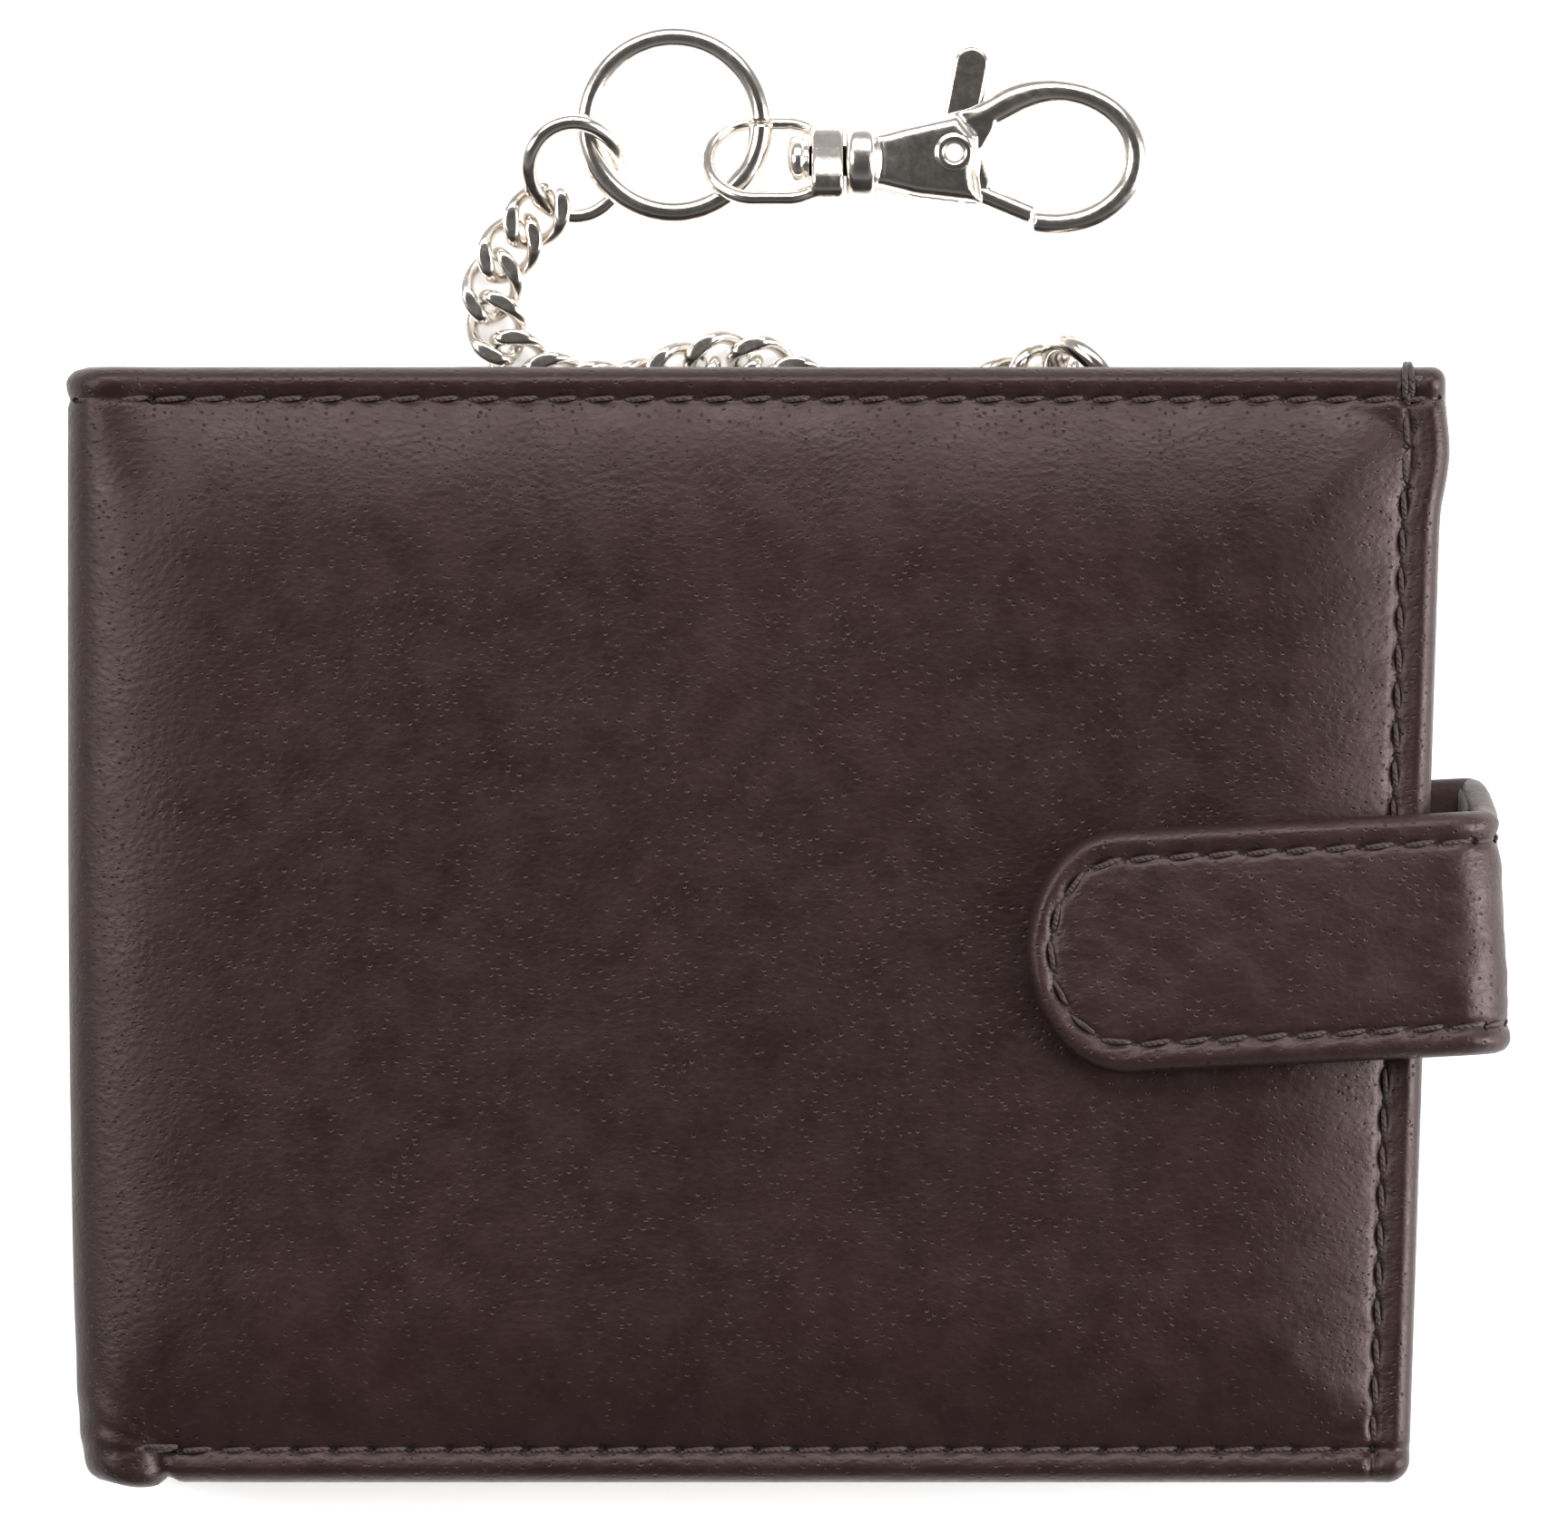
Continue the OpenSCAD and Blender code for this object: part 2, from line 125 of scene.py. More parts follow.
# ---- Mesh helpers ----
def make(name, verts, faces, material, smooth=True, scale=MM):
    mesh = bpy.data.meshes.new(name)
    points = [tuple(float(c) * scale for c in v) for v in verts]
    mesh.from_pydata(points, [], [tuple(int(i) for i in f) for f in faces])
    mesh.validate()
    mesh.update()
    obj = bpy.data.objects.new(name, mesh)
    bpy.context.scene.collection.objects.link(obj)
    obj.data.materials.append(material)
    if smooth:
        mesh.polygons.foreach_set("use_smooth", [True] * len(mesh.polygons))
    return obj


def edit(obj, work):
    bm = bmesh.new()
    bm.from_mesh(obj.data)
    work(bm)
    bm.to_mesh(obj.data)
    bm.free()
    obj.data.update()
    return obj


def outward(obj):
    return edit(obj, lambda bm: bmesh.ops.recalc_face_normals(bm, faces=bm.faces[:]))


def grid_faces(rows, cols, wrap=False):
    out = []
    for i in range(rows - 1):
        for j in range(cols if wrap else cols - 1):
            k = (j + 1) % cols
            out.append((i * cols + j, i * cols + k, (i + 1) * cols + k, (i + 1) * cols + j))
    return out


def frames_along(path, closed):
    """Tangents, and two cross directions that turn as little as possible."""
    path = np.asarray(path, float)
    if closed:
        tangent = np.roll(path, -1, 0) - np.roll(path, 1, 0)
    else:
        tangent = np.gradient(path, axis=0)
    tangent = unit(tangent)
    up = np.array([0, 0, 1.0]) if abs(tangent[0][2]) < 0.9 else np.array([1.0, 0, 0])
    sides = [unit(np.cross(tangent[0], up))]
    for t in tangent[1:]:
        sides.append(unit(sides[-1] - t * (sides[-1] @ t)))
    sides = np.array(sides)
    return path, tangent, sides, np.cross(tangent, sides)


def tube(path, radius, sides=14, closed=False, flat_z=None, cap_round=0.0):
    """Points and faces of a tube. radius may be one number or one a point."""
    path, tangent, u, v = frames_along(path, closed)
    n = len(path)
    radius = np.broadcast_to(np.asarray(radius, float), (n,))
    if closed:
        # spread the leftover twist round the loop
        last = unit(np.cross(tangent[0], np.cross(u[-1], tangent[0])))
        twist = math.atan2(last @ v[0], last @ u[0])
        for i in range(n):
            a = -twist * i / n
            u[i], v[i] = u[i] * math.cos(a) + v[i] * math.sin(a), v[i] * math.cos(a) - u[i] * math.sin(a)
    ang = np.linspace(0, 2 * np.pi, sides, endpoint=False)
    ring = u[:, None] * np.cos(ang)[None, :, None] + v[:, None] * np.sin(ang)[None, :, None]
    pts = path[:, None] + ring * radius[:, None, None]
    if flat_z is not None:
        pts[..., 2] = np.clip(pts[..., 2], -flat_z, flat_z)
    verts = pts.reshape(-1, 3).tolist()
    faces = grid_faces(n, sides, True)
    if closed:
        base = (n - 1) * sides
        faces += [(base + j, base + (j + 1) % sides, (j + 1) % sides, j) for j in range(sides)]
    else:
        for end, sign in ((0, -1), (n - 1, 1)):
            base = len(verts)
            inner = path[end] + ring[end] * radius[end] * 0.72 + tangent[end] * sign * cap_round
            verts += inner.tolist()
            verts.append((path[end] + tangent[end] * sign * cap_round * 1.15).tolist())
            for j in range(sides):
                k = (j + 1) % sides
                faces.append((end * sides + j, end * sides + k, base + k, base + j))
                faces.append((base + j, base + k, base + sides))
    return verts, faces


def joined(parts):
    verts, faces = [], []
    for v, f in parts:
        base = len(verts)
        verts += [tuple(p) for p in v]
        faces += [tuple(base + i for i in g) for g in f]
    return verts, faces


def lathe(profile, segments=64):
    """Profile of (along X, radius), turned round the X axis. Ends on the axis close it."""
    ang = np.linspace(0, 2 * np.pi, segments, endpoint=False)
    verts = [(x, r * math.cos(a), r * math.sin(a)) for x, r in profile for a in ang]
    return verts, grid_faces(len(profile), segments, True)


def placed(part, origin, turn=None):
    verts = np.array(part[0], float)
    if turn is not None:
        verts = verts @ np.array(turn, float).T
    return (verts + np.array(origin, float)).tolist(), part[1]


def merge(obj, distance=0.0005):
    return edit(obj, lambda bm: bmesh.ops.remove_doubles(bm, verts=bm.verts[:], dist=distance * MM))


def turn_z(degrees):
    a = math.radians(degrees)
    return np.array([[math.cos(a), -math.sin(a), 0], [math.sin(a), math.cos(a), 0], [0, 0, 1]])


X_TO_Z = np.array([[0, 0, -1], [0, 1, 0], [1, 0, 0]], float)


# ---- Materials ----
class Nodes:
    def __init__(self, name):
        self.material = bpy.data.materials.new(name)
        self.material.use_nodes = True
        self.tree = self.material.node_tree
        self.shader = self.tree.nodes["Principled BSDF"]
        self.place = self.tree.nodes.new("ShaderNodeTexCoord").outputs["Object"]

    def add(self, kind, links=None, **values):
        node = self.tree.nodes.new(kind)
        for key, value in values.items():
            setattr(node, key, value)
        for socket, value in (links or {}).items():
            if isinstance(value, bpy.types.NodeSocket):
                self.tree.links.new(value, node.inputs[socket])
            else:
                node.inputs[socket].default_value = value
        return node

    def math(self, operation, a, b=0.0):
        return self.add("ShaderNodeMath", {0: a, 1: b}, operation=operation).outputs[0]

    def vector(self, operation, a, b):
        return self.add("ShaderNodeVectorMath", {0: a, 1: b}, operation=operation).outputs[0]

    def weighted(self, *terms):
        """The sum of values, each times its weight."""
        total = None
        for value, weight in terms:
            part = self.math("MULTIPLY", value, weight)
            total = part if total is None else self.math("ADD", total, part)
        return total

    def noise(self, scale, detail=4.0, place=None, rough=0.55):
        links = {"Vector": place or self.place, "Scale": scale, "Detail": detail, "Roughness": rough}
        return self.add("ShaderNodeTexNoise", links)

    def ramp(self, value, stops):
        node = self.add("ShaderNodeValToRGB", {"Fac": value})
        items = node.color_ramp.elements
        while len(items) < len(stops):
            items.new(0.5)
        for item, (at, colour) in zip(items, stops):
            item.position = at
            item.color = (*colour, 1) if len(colour) == 3 else colour
        return node.outputs["Color"]

    def range(self, value, low, high, new_low, new_high):
        links = {"Value": value, "From Min": low, "From Max": high, "To Min": new_low, "To Max": new_high}
        return self.add("ShaderNodeMapRange", links).outputs["Result"]

    def bump(self, height, strength, distance):
        links = {"Height": height, "Strength": strength, "Distance": distance}
        return self.add("ShaderNodeBump", links).outputs["Normal"]

    def set(self, **values):
        for key, value in values.items():
            socket = self.shader.inputs[key.replace("_", " ")]
            if isinstance(value, bpy.types.NodeSocket):
                self.tree.links.new(value, socket)
            else:
                socket.default_value = value
        return self.material


def leather(name, dark, light, pore_gap=0.85, grain=1.0, rough=0.37):
    """Smooth nappa: round pores in wavering rows with painted shade in them, a fine pebble grain and soft
    patches of tone.
    """
    n = Nodes(name)
    shift = n.vector("SUBTRACT", n.noise(55, 2.0).outputs["Color"], (0.5, 0.5, 0.5))
    shift = n.vector("MULTIPLY", shift, (0.0045, 0.0045, 0.0045))
    stretched = n.vector("MULTIPLY", n.vector("ADD", n.place, shift), (1.0, 1.45, 1.2))
    pore_links = {"Vector": stretched, "Scale": 1000 / pore_gap, "Randomness": 0.75}
    pores = n.add("ShaderNodeTexVoronoi", pore_links).outputs["Distance"]
    pit = n.range(pores, 0.06, 0.24, 0.0, 1.0)
    pebble_links = {"Vector": stretched, "Scale": 1500.0, "Smoothness": 0.7}
    pebble = n.add("ShaderNodeTexVoronoi", pebble_links, feature="SMOOTH_F1").outputs["Distance"]
    fine = n.noise(5200, 3.0).outputs["Fac"]
    crease = n.noise(420, 5.0, stretched, 0.65).outputs["Fac"]
    crease = n.range(n.math("ABSOLUTE", n.math("SUBTRACT", crease, 0.5)), 0.0, 0.06, 0.0, 1.0)
    height = n.weighted((pit, 0.5), (pebble, -0.3), (crease, 0.1), (fine, 0.05))
    patches = n.noise(38, 4.0).outputs["Fac"]
    mottle = n.noise(260, 5.0).outputs["Fac"]
    colour = n.ramp(n.weighted((patches, 0.6), (mottle, 0.4)), [(0.3, dark), (0.7, light)])
    # painted shade: the base colour is darkened in each pore, down to 0.35 of it at the pore's centre
    shade = n.range(pit, 0.0, 1.0, 0.35, 1.0)
    shade = n.add("ShaderNodeCombineColor", {0: shade, 1: shade, 2: shade}).outputs[0]
    pore_shaded = n.add("ShaderNodeMix", {0: 1.0, 6: colour, 7: shade}, data_type="RGBA", blend_type="MULTIPLY")
    wear = n.math("ADD", mottle, n.math("MULTIPLY", pebble, 0.3))
    return n.set(
        Base_Color=pore_shaded.outputs[2],
        Roughness=n.range(wear, 0.3, 0.9, rough - 0.05, rough + 0.12),
        Normal=n.bump(height, 1.0, 0.0001 * grain),
        Specular_IOR_Level=0.36,
        Specular_Tint=(1.0, 0.84, 0.84, 1),
    )


def flesh(name, dark, light):
    n = Nodes(name)
    fibre = n.noise(1400, 6.0, rough=0.7).outputs["Fac"]
    nap = n.noise(240, 4.0).outputs["Fac"]
    return n.set(
        Base_Color=n.ramp(n.weighted((fibre, 0.6), (nap, 0.4)), [(0.3, dark), (0.7, light)]),
        Roughness=n.range(nap, 0.3, 0.7, 0.82, 0.95),
        Normal=n.bump(fibre, 0.9, 0.00012),
        Sheen_Weight=0.3,
    )


def woven(name, dark, light):
    n = Nodes(name)
    links = {"Vector": n.place, "Scale": 900.0, "Distortion": 0.6}
    across, along = (n.add("ShaderNodeTexWave", links, bands_direction=way).outputs["Fac"] for way in "XY")
    weave = n.math("MAXIMUM", across, along)
    patches = n.noise(90, 4.0).outputs["Fac"]
    tone = n.math("MULTIPLY", weave, n.math("ADD", patches, 0.4))
    return n.set(
        Base_Color=n.ramp(tone, [(0.2, dark), (0.9, light)]),
        Roughness=n.range(patches, 0.3, 0.7, 0.62, 0.8),
        Normal=n.bump(weave, 0.6, 0.00008),
        Sheen_Weight=0.2,
    )


def thread_look(name, dark, light):
    n = Nodes(name)
    links = {"Vector": n.place, "Scale": 1100.0, "Distortion": 1.2, "Detail": 1.0}
    twist = n.add("ShaderNodeTexWave", links, bands_direction="DIAGONAL").outputs["Fac"]
    fuzz = n.noise(3000, 3.0).outputs["Fac"]
    return n.set(
        Base_Color=n.ramp(n.weighted((twist, 0.6), (fuzz, 0.4)), [(0.2, dark), (0.8, light)]),
        Roughness=n.range(fuzz, 0.3, 0.7, 0.5, 0.7),
        Normal=n.bump(twist, 0.7, 0.00008),
        Sheen_Weight=0.15,
    )


def metal(name, colour, rough, cast=0.0, scratch=0.3):
    """Plated metal with fine scratches; cast adds the waves and speckles of a casting."""
    n = Nodes(name)
    wear = n.noise(130, 5.0).outputs["Fac"]
    tiny = n.noise(1500, 5.0, rough=0.65).outputs["Fac"]
    lines = n.noise(500, 3.0, n.vector("MULTIPLY", n.place, (1.0, 12.0, 6.0))).outputs["Fac"]
    waves = n.noise(420, 2.0).outputs["Fac"]
    height = n.weighted((tiny, 0.12 + 0.5 * cast), (lines, 0.15 * scratch), (waves, 1.4 * cast))
    warm = tuple(c * s for c, s in zip(colour, (0.9, 0.87, 0.82)))
    worn = n.math("ADD", tiny, n.math("MULTIPLY", wear, 0.6))
    return n.set(
        Base_Color=n.ramp(wear, [(0.3, warm), (0.7, colour)]),
        Metallic=1.0,
        Roughness=n.range(worn, 0.5, 1.1, rough * 0.75, rough * 1.5),
        Normal=n.bump(height, 0.35, 0.00008),
    )


def plain_fibre(name, dark, light, scale, rough=0.9, bump=0.5):
    n = Nodes(name)
    fibre = n.noise(scale, 6.0, rough=0.7).outputs["Fac"]
    return n.set(
        Base_Color=n.ramp(fibre, [(0.3, dark), (0.7, light)]),
        Roughness=n.range(fibre, 0.3, 0.7, rough - 0.1, rough + 0.05),
        Normal=n.bump(fibre, bump, 0.0001),
    )


def film(name):
    n = Nodes(name)
    haze = n.noise(300, 4.0).outputs["Fac"]
    return n.set(
        Base_Color=n.ramp(haze, [(0.3, (0.75, 0.78, 0.79)), (0.7, (0.85, 0.87, 0.88))]),
        Roughness=n.range(haze, 0.3, 0.7, 0.06, 0.2),
        Normal=n.bump(haze, 0.2, 0.00006),
        Alpha=0.35,
    )


NAPPA = leather("nappa", (0.0105, 0.0043, 0.0043), (0.0185, 0.0082, 0.0082))
STRAP_NAPPA = leather("strap_nappa", (0.014, 0.0064, 0.0064), (0.024, 0.0118, 0.0118), 0.95, 1.15)
POCKET = leather("pocket_nappa", (0.014, 0.0075, 0.0075), (0.026, 0.014, 0.0135), 0.7, 0.8)
EDGE = leather("edge_nappa", (0.012, 0.0065, 0.0065), (0.022, 0.012, 0.012), 0.8, 0.9, rough=0.4)
SUEDE = flesh("flesh_side", (0.022, 0.011, 0.009), (0.07, 0.036, 0.028))
LINING = woven("lining_weave", (0.014, 0.009, 0.009), (0.05, 0.035, 0.033))
THREAD = thread_look("thread", (0.008, 0.0035, 0.004), (0.035, 0.012, 0.013))
# painted shade: near-black colour for the inside of the needle holes
HOLE_SHADE = plain_fibre("needle_hole_shade", (0.002, 0.001, 0.001), (0.006, 0.003, 0.003), 900, 0.95)
NICKEL = metal("nickel_wire", (0.83, 0.80, 0.76), 0.16)
CHAIN_NICKEL = metal("nickel_chain", (0.76, 0.73, 0.69), 0.2, 0.15)
CAST_NICKEL = metal("nickel_cast", (0.82, 0.79, 0.75), 0.17, 0.5)
SNAP_METAL = metal("snap_nickel", (0.78, 0.75, 0.71), 0.25, 0.1)
SPRING = metal("spring_steel", (0.6, 0.6, 0.6), 0.3, 0.0, 1.0)
BOARD = plain_fibre("board", (0.2, 0.16, 0.12), (0.34, 0.28, 0.21), 700)
FOAM = plain_fibre("foam", (0.42, 0.38, 0.33), (0.58, 0.54, 0.48), 1500)
FILM = film("window_film")


def piece(obj, body, nodes=()):
    """Rides an object on one body."""
    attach(obj, body)
    if nodes:
        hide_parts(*nodes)
    return obj


def turned(name, profile, origin, material, body, node, turn=X_TO_Z, segments=64):
    """A lathe-turned piece in place of one CAD node."""
    obj = make(name, *placed(lathe(profile, segments), origin, turn), material)
    piece(outward(merge(obj)), body, [node])


def across_joint(obj, bodies, start, end, slot, nodes=()):
    """Bakes an object's place into its mesh and hides the CAD nodes it replaces."""
    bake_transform(obj)
    if nodes:
        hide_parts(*nodes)
    return obj


# ---- Outer leather: one sheet for each half, both running round the spine to its middle ----
def spacing(length, fine, fine_to, coarse):
    """Steps from 0: fine up to fine_to, then coarse to the end."""
    near = np.arange(0, fine_to, fine)
    rest = np.linspace(fine_to, length, max(2, int(round((length - fine_to) / coarse)) + 1))
    return np.concatenate([near, rest])


def both_ends(low, high, fine, fine_to, coarse):
    """Values from low to high, fine near both ends."""
    half = spacing((high - low) / 2, fine, fine_to, coarse)
    return np.unique(np.round(np.concatenate([low + half, high - half]), 5))


def corner_round(dx, dy, r):
    """Moves insets of a square corner onto a round one."""
    a, b = clamp((r - dx) / r), clamp((r - dy) / r)
    a2, b2 = a * np.sqrt(1 - b * b / 2), b * np.sqrt(1 - a * a / 2)
    inside = (a > 0) & (b > 0)
    return np.where(inside, r - a2 * r, dx), np.where(inside, r - b2 * r, dy)


def corner_inset(dx, dy, r):
    """Distance in from the outline, measured round a corner of radius r."""
    both = (dx < r) & (dy < r)
    return np.where(both, r - np.hypot(r - dx, r - dy), np.minimum(dx, dy))


def left_shift(y):
    """How far the spine's edge leans in towards the bottom."""
    t = (HALF_H - y) / (2 * HALF_H)
    return 1.1 * t**4 + 0.9 * t**40


def right_bulge(y):
    """The small bulge of the right edge below the top corner."""
    return 0.55 * np.exp(-(((y - 39.3) / 3.4) ** 2)) - 0.1 * ease((36.5 - y) / 2)


def groove(d, at, phase, deep=0.5, width=0.36):
    """Depth of a sewn groove at distance d from the edge, deeper where the thread goes in."""
    dent = np.exp(-(((d - at) / width) ** 2))
    pinch = np.exp(-(((d - at) / (width * 2.4)) ** 2))
    beat = np.cos(2 * np.pi * phase)
    return deep * dent * (0.8 + 0.2 * beat) + 0.1 * pinch * (0.5 + 0.5 * beat)


ROLL = 1.35
TOP_SEAM, RIGHT_SEAM, BOTTOM_SEAM = 2.7, 3.2, 2.8
BACK_SEAM = 3.2
BOTTOM_SEAM_FROM = -51.2
swell = wave_noise(3, 34)
dimple = wave_noise(5, 11)
pucker = wave_noise(8, 3.4)
crinkle = wave_noise(9, 1.9)


def rim_roll(d, r=ROLL, high=1.6):
    """Fall of the rolled rim at distance d from the edge."""
    return high * (1 - np.sqrt(np.maximum(0, 1 - clamp((r - d) / r) ** 2)))


def half_sheet(front):
    """Points of the outer leather of a half, and the direction into the leather at each."""
    bend_to = -40.0 if front else -42.0
    power = 2.6
    wall = np.linspace(9.9 if front else 10.1, 14.0 if front else 6.0, 7)
    phi = np.linspace(0, math.pi / 2, 40)[1:]
    bend_x = LEFT + (bend_to - LEFT) * (1 - np.cos(phi) ** (2 / power))
    bend_z = np.sin(phi) ** (2 / power)
    flat_x = both_ends(bend_to, TOP_RIGHT, 0.28, 5.2, 0.5)
    flat_x = flat_x[flat_x > bend_to + 0.3]
    base_x = np.concatenate([np.full(len(wall), LEFT), bend_x, flat_x])
    level = (14.0, 6.0) if front else (6.0, -6.0)
    base_z = np.concatenate([wall, level[0] + level[1] * bend_z, np.full(len(flat_x), level[0] + level[1])])
    normal = unit(np.stack([-np.gradient(base_z), np.gradient(base_x)], 1))
    if not front:
        normal = -normal
    y_line = both_ends(-HALF_H, HALF_H, 0.28, 5.2, 0.5)
    x, y = np.meshgrid(base_x, y_line)
    z = np.broadcast_to(base_z, x.shape).copy()
    nx = np.broadcast_to(normal[:, 0], x.shape)
    nz = np.broadcast_to(normal[:, 1], x.shape)
    # the tapered right edge, by stretching from the left
    along = clamp((x - LEFT) / (TOP_RIGHT - LEFT))
    x = x + along * (right_edge(y) - TOP_RIGHT)
    d_right, d_top, d_bottom = right_edge(y) - x, HALF_H - y, y + HALF_H
    far = 60.0
    for d_y, sign in ((d_top, 1), (d_bottom, -1)):
        rx, ry = corner_round(np.where(x > 0, d_right, far), d_y, 1.9 if sign < 0 else 1.2)
        near = (x > 0) & (d_y < 3)
        x = np.where(near, right_edge(y) - rx, x)
        y = np.where(near, sign * (HALF_H - ry), y)
        d_right = right_edge(y) - x
    d_top, d_bottom = HALF_H - y, y + HALF_H
    rim = np.minimum(corner_inset(d_right, d_top, 1.2), corner_inset(d_right, d_bottom, 1.9))
    wide = np.minimum(corner_inset(d_right, d_top, 9.0), corner_inset(d_right, d_bottom, 9.0))
    on_face = ease((x - LEFT - 1.5) / 7)
    if front:
        pillow = 2.3 * (1 - clamp((wide - 3.4) / 12.5)) ** 2.0
        depth = pillow * on_face
        depth = depth + groove(d_top, TOP_SEAM, x / PITCH) * (0.35 + 0.65 * on_face)
        depth = depth + groove(d_right, RIGHT_SEAM, y / PITCH)
        after = ease((x - BOTTOM_SEAM_FROM) / 1.2)
        depth = depth + groove(d_bottom, BOTTOM_SEAM, x / PITCH) * after
        # the rim stands up a little between the seam and the edge, like piping
        for d, w in ((d_top, 0.6 + 0.4 * on_face), (d_right, 1.0), (d_bottom, after)):
            depth = depth - 0.22 * np.exp(-(((d - 1.35) / 0.8) ** 2)) * w
        # creases running off the seams, and the soft unevenness of the padding
        for d, s, w in ((d_top, x, on_face), (d_right, y, 1.0), (d_bottom, x, after * on_face)):
            fade = np.exp(-clamp((d - 3) / 40) * 11) * ease((d - 2.9) / 1.4)
            depth = depth + fade * w * (0.045 * pucker(s, 0.25 * d) + 0.02 * crinkle(s, 0.4 * d))
        inner = ease((wide - 4) / 6)
        depth = depth + on_face * inner * (0.07 * swell(x, y) + 0.012 * dimple(x, y)) + 0.1 * on_face * inner
        # fan of wrinkles above the start of the bottom seam, and the notch beside the lobe
        fx, fy = x - BOTTOM_SEAM_FROM, y + HALF_H - BOTTOM_SEAM
        reach = np.hypot(fx, fy)
        fan = np.cos(13 * np.arctan2(fy, -fx) + 0.6) * np.exp(-reach / 6.5) * ease(reach / 1.5)
        depth = depth + 0.13 * fan * ease((LEFT + 22 - x) / 8) * ease((d_bottom - 1.0) / 2)
        notch = np.exp(-(((x - BOTTOM_SEAM_FROM + 0.2) / 0.7) ** 2)) * ease((4.2 - d_bottom) / 3)
        depth = depth + 0.55 * notch
        y = y + 0.55 * notch * ease((1.5 - d_bottom) / 1.5)
        lobe = np.exp(-(((x - LEFT - 3.4) / 2.4) ** 2)) * ease((3.5 - d_bottom) / 3.5)
        y = y - 0.4 * lobe
        depth = depth - 0.12 * lobe
    else:
        depth = 0.06 + 4.1 * (1 - ease((wide - 7.8) / 6.4)) * on_face
        depth = depth + groove(d_top, BACK_SEAM, x / PITCH, 0.3) * on_face
        depth = depth + groove(d_right, BACK_SEAM + 0.6, y / PITCH, 0.3)
        after = ease((x - BOTTOM_SEAM_FROM) / 1.2)
        depth = depth + groove(d_bottom, BACK_SEAM, x / PITCH, 0.3) * after
        inner = ease((wide - 15) / 6)
        depth = depth + on_face * inner * 0.05 * np.maximum(0, 1.3 + dimple(x, y))
    depth = depth + rim_roll(rim, ROLL, 1.6 if front else 0.9)
    shift = left_shift(y) * (1 - ease((x - LEFT) / 30))
    x = x + shift + right_bulge(y) * ease((x - 40) / 15)
    points = np.stack([x - nx * depth, y, z - nz * depth], -1)
    under = np.stack([nx, np.zeros_like(nx), nz], -1)
    return points, under


def edge_loop(rows, cols):
    """Grid indices of the bottom edge from the left, the right edge, and the top edge back to the left."""
    loop = [(0, j) for j in range(cols)]
    loop += [(i, cols - 1) for i in range(1, rows)]
    loop += [(rows - 1, j) for j in range(cols - 2, -1, -1)]
    return loop


def outer_leather(name, front):
    points, under = half_sheet(front)
    rows, cols = points.shape[:2]
    verts = [tuple(p) for p in points.reshape(-1, 3)]
    faces = grid_faces(rows, cols)
    loop = edge_loop(rows, cols)
    edge = np.array([points[i, j] for i, j in loop])
    up = np.array([under[i, j] for i, j in loop])
    away = unit(np.cross(np.gradient(edge, axis=0), up))
    away[(edge * away).sum(1) < 0] *= -1
    straight = edge[:, 0] < 40
    away[straight] = np.stack([0 * edge[:, 0], np.sign(edge[:, 1]), 0 * edge[:, 0]], 1)[straight]
    if front:
        # lower half of the rolled rim, then the turned-in edge
        steps = [(0.1, 0.45), (0.35, 0.85), (0.75, 1.2), (1.25, 1.4), (2.2, 1.45), (4.2, 1.45)]
        short = steps
    else:
        # three folded edges one under the other, and along the top a single edge with its inner fold
        steps = [(0.0, 0.5), (0.06, 1.0), (0.5, 1.45), (0.02, 1.9), (0.0, 2.5), (0.5, 3.0), (0.02, 3.5)]
        steps += [(0.1, 4.0), (0.7, 4.25), (1.6, 4.3), (3.0, 4.3)]
        short = [(0.05, 0.25), (0.15, 0.4), (0.3, 0.5), (0.5, 0.56), (0.8, 0.6), (1.4, 0.6), (3.0, 0.6)]
        short += [(6.0, 0.62), (8.8, 0.7), (11.0, -1.9), (13.9, -2.9)]
    spine_steps = [(0.15 * (k + 1), min(0.3 * (k + 1), 1.3)) for k in range(len(steps))]
    spine_steps = [(s[0] * (1 if k < 4 else 1 + 0.4 * (k - 3)), s[1]) for k, s in enumerate(spine_steps)]
    previous = [i * cols + j for i, j in loop]
    blend_spine = 1 - ease((edge[:, 0] - HALF_LEFT + 2.5) / 3)
    blend_top = ease((edge[:, 1] - HALF_H + 9.5) / 8.5) if not front else np.zeros(len(edge))
    # beside the corner the inner fold stays short and flat, so it can't come out below
    near_corner = ease((edge[:, 0] - 26) / 12)
    for k in range(len(steps)):
        short_in = short[k][0] + (min(short[k][0], 8.8) - short[k][0]) * near_corner
        short_down = short[k][1] + (0.7 - short[k][1]) * near_corner * (short[k][1] < 0)
        inward = steps[k][0] * (1 - blend_top) + short_in * blend_top
        down = steps[k][1] * (1 - blend_top) + short_down * blend_top
        inward = inward * (1 - blend_spine) + spine_steps[k][0] * blend_spine
        down = down * (1 - blend_spine) + spine_steps[k][1] * blend_spine
        ring = edge - away * inward[:, None] - up * down[:, None]
        base = len(verts)
        verts += [tuple(p) for p in ring]
        current = list(range(base, base + len(ring)))
        for a in range(len(ring) - 1):
            faces.append((previous[a], previous[a + 1], current[a + 1], current[a]))
        previous = current
    obj = make(name, verts, faces, NAPPA)
    return outward(obj)


leather_front = outer_leather("leather_front", True)
leather_back = outer_leather("leather_back", False)
across_joint(leather_front, *SPINE_HIGH_BEND, "outer_leather", ["front_cover"])
across_joint(leather_back, *SPINE_LOW_BEND, "outer_leather", ["back_cover", "spine_leather"])
front_skin = leather_front.data
front_tree = BVHTree.FromPolygons(
    [v.co.copy() for v in front_skin.vertices], [tuple(p.vertices) for p in front_skin.polygons]
)


def front_height(x, y):
    """Height of the front's outer leather at a point, from its mesh."""
    hit = front_tree.ray_cast(Vector((x * MM, y * MM, 0.05)), Vector((0, 0, -1)))
    return hit[0].z / MM if hit[0] is not None else 17.5


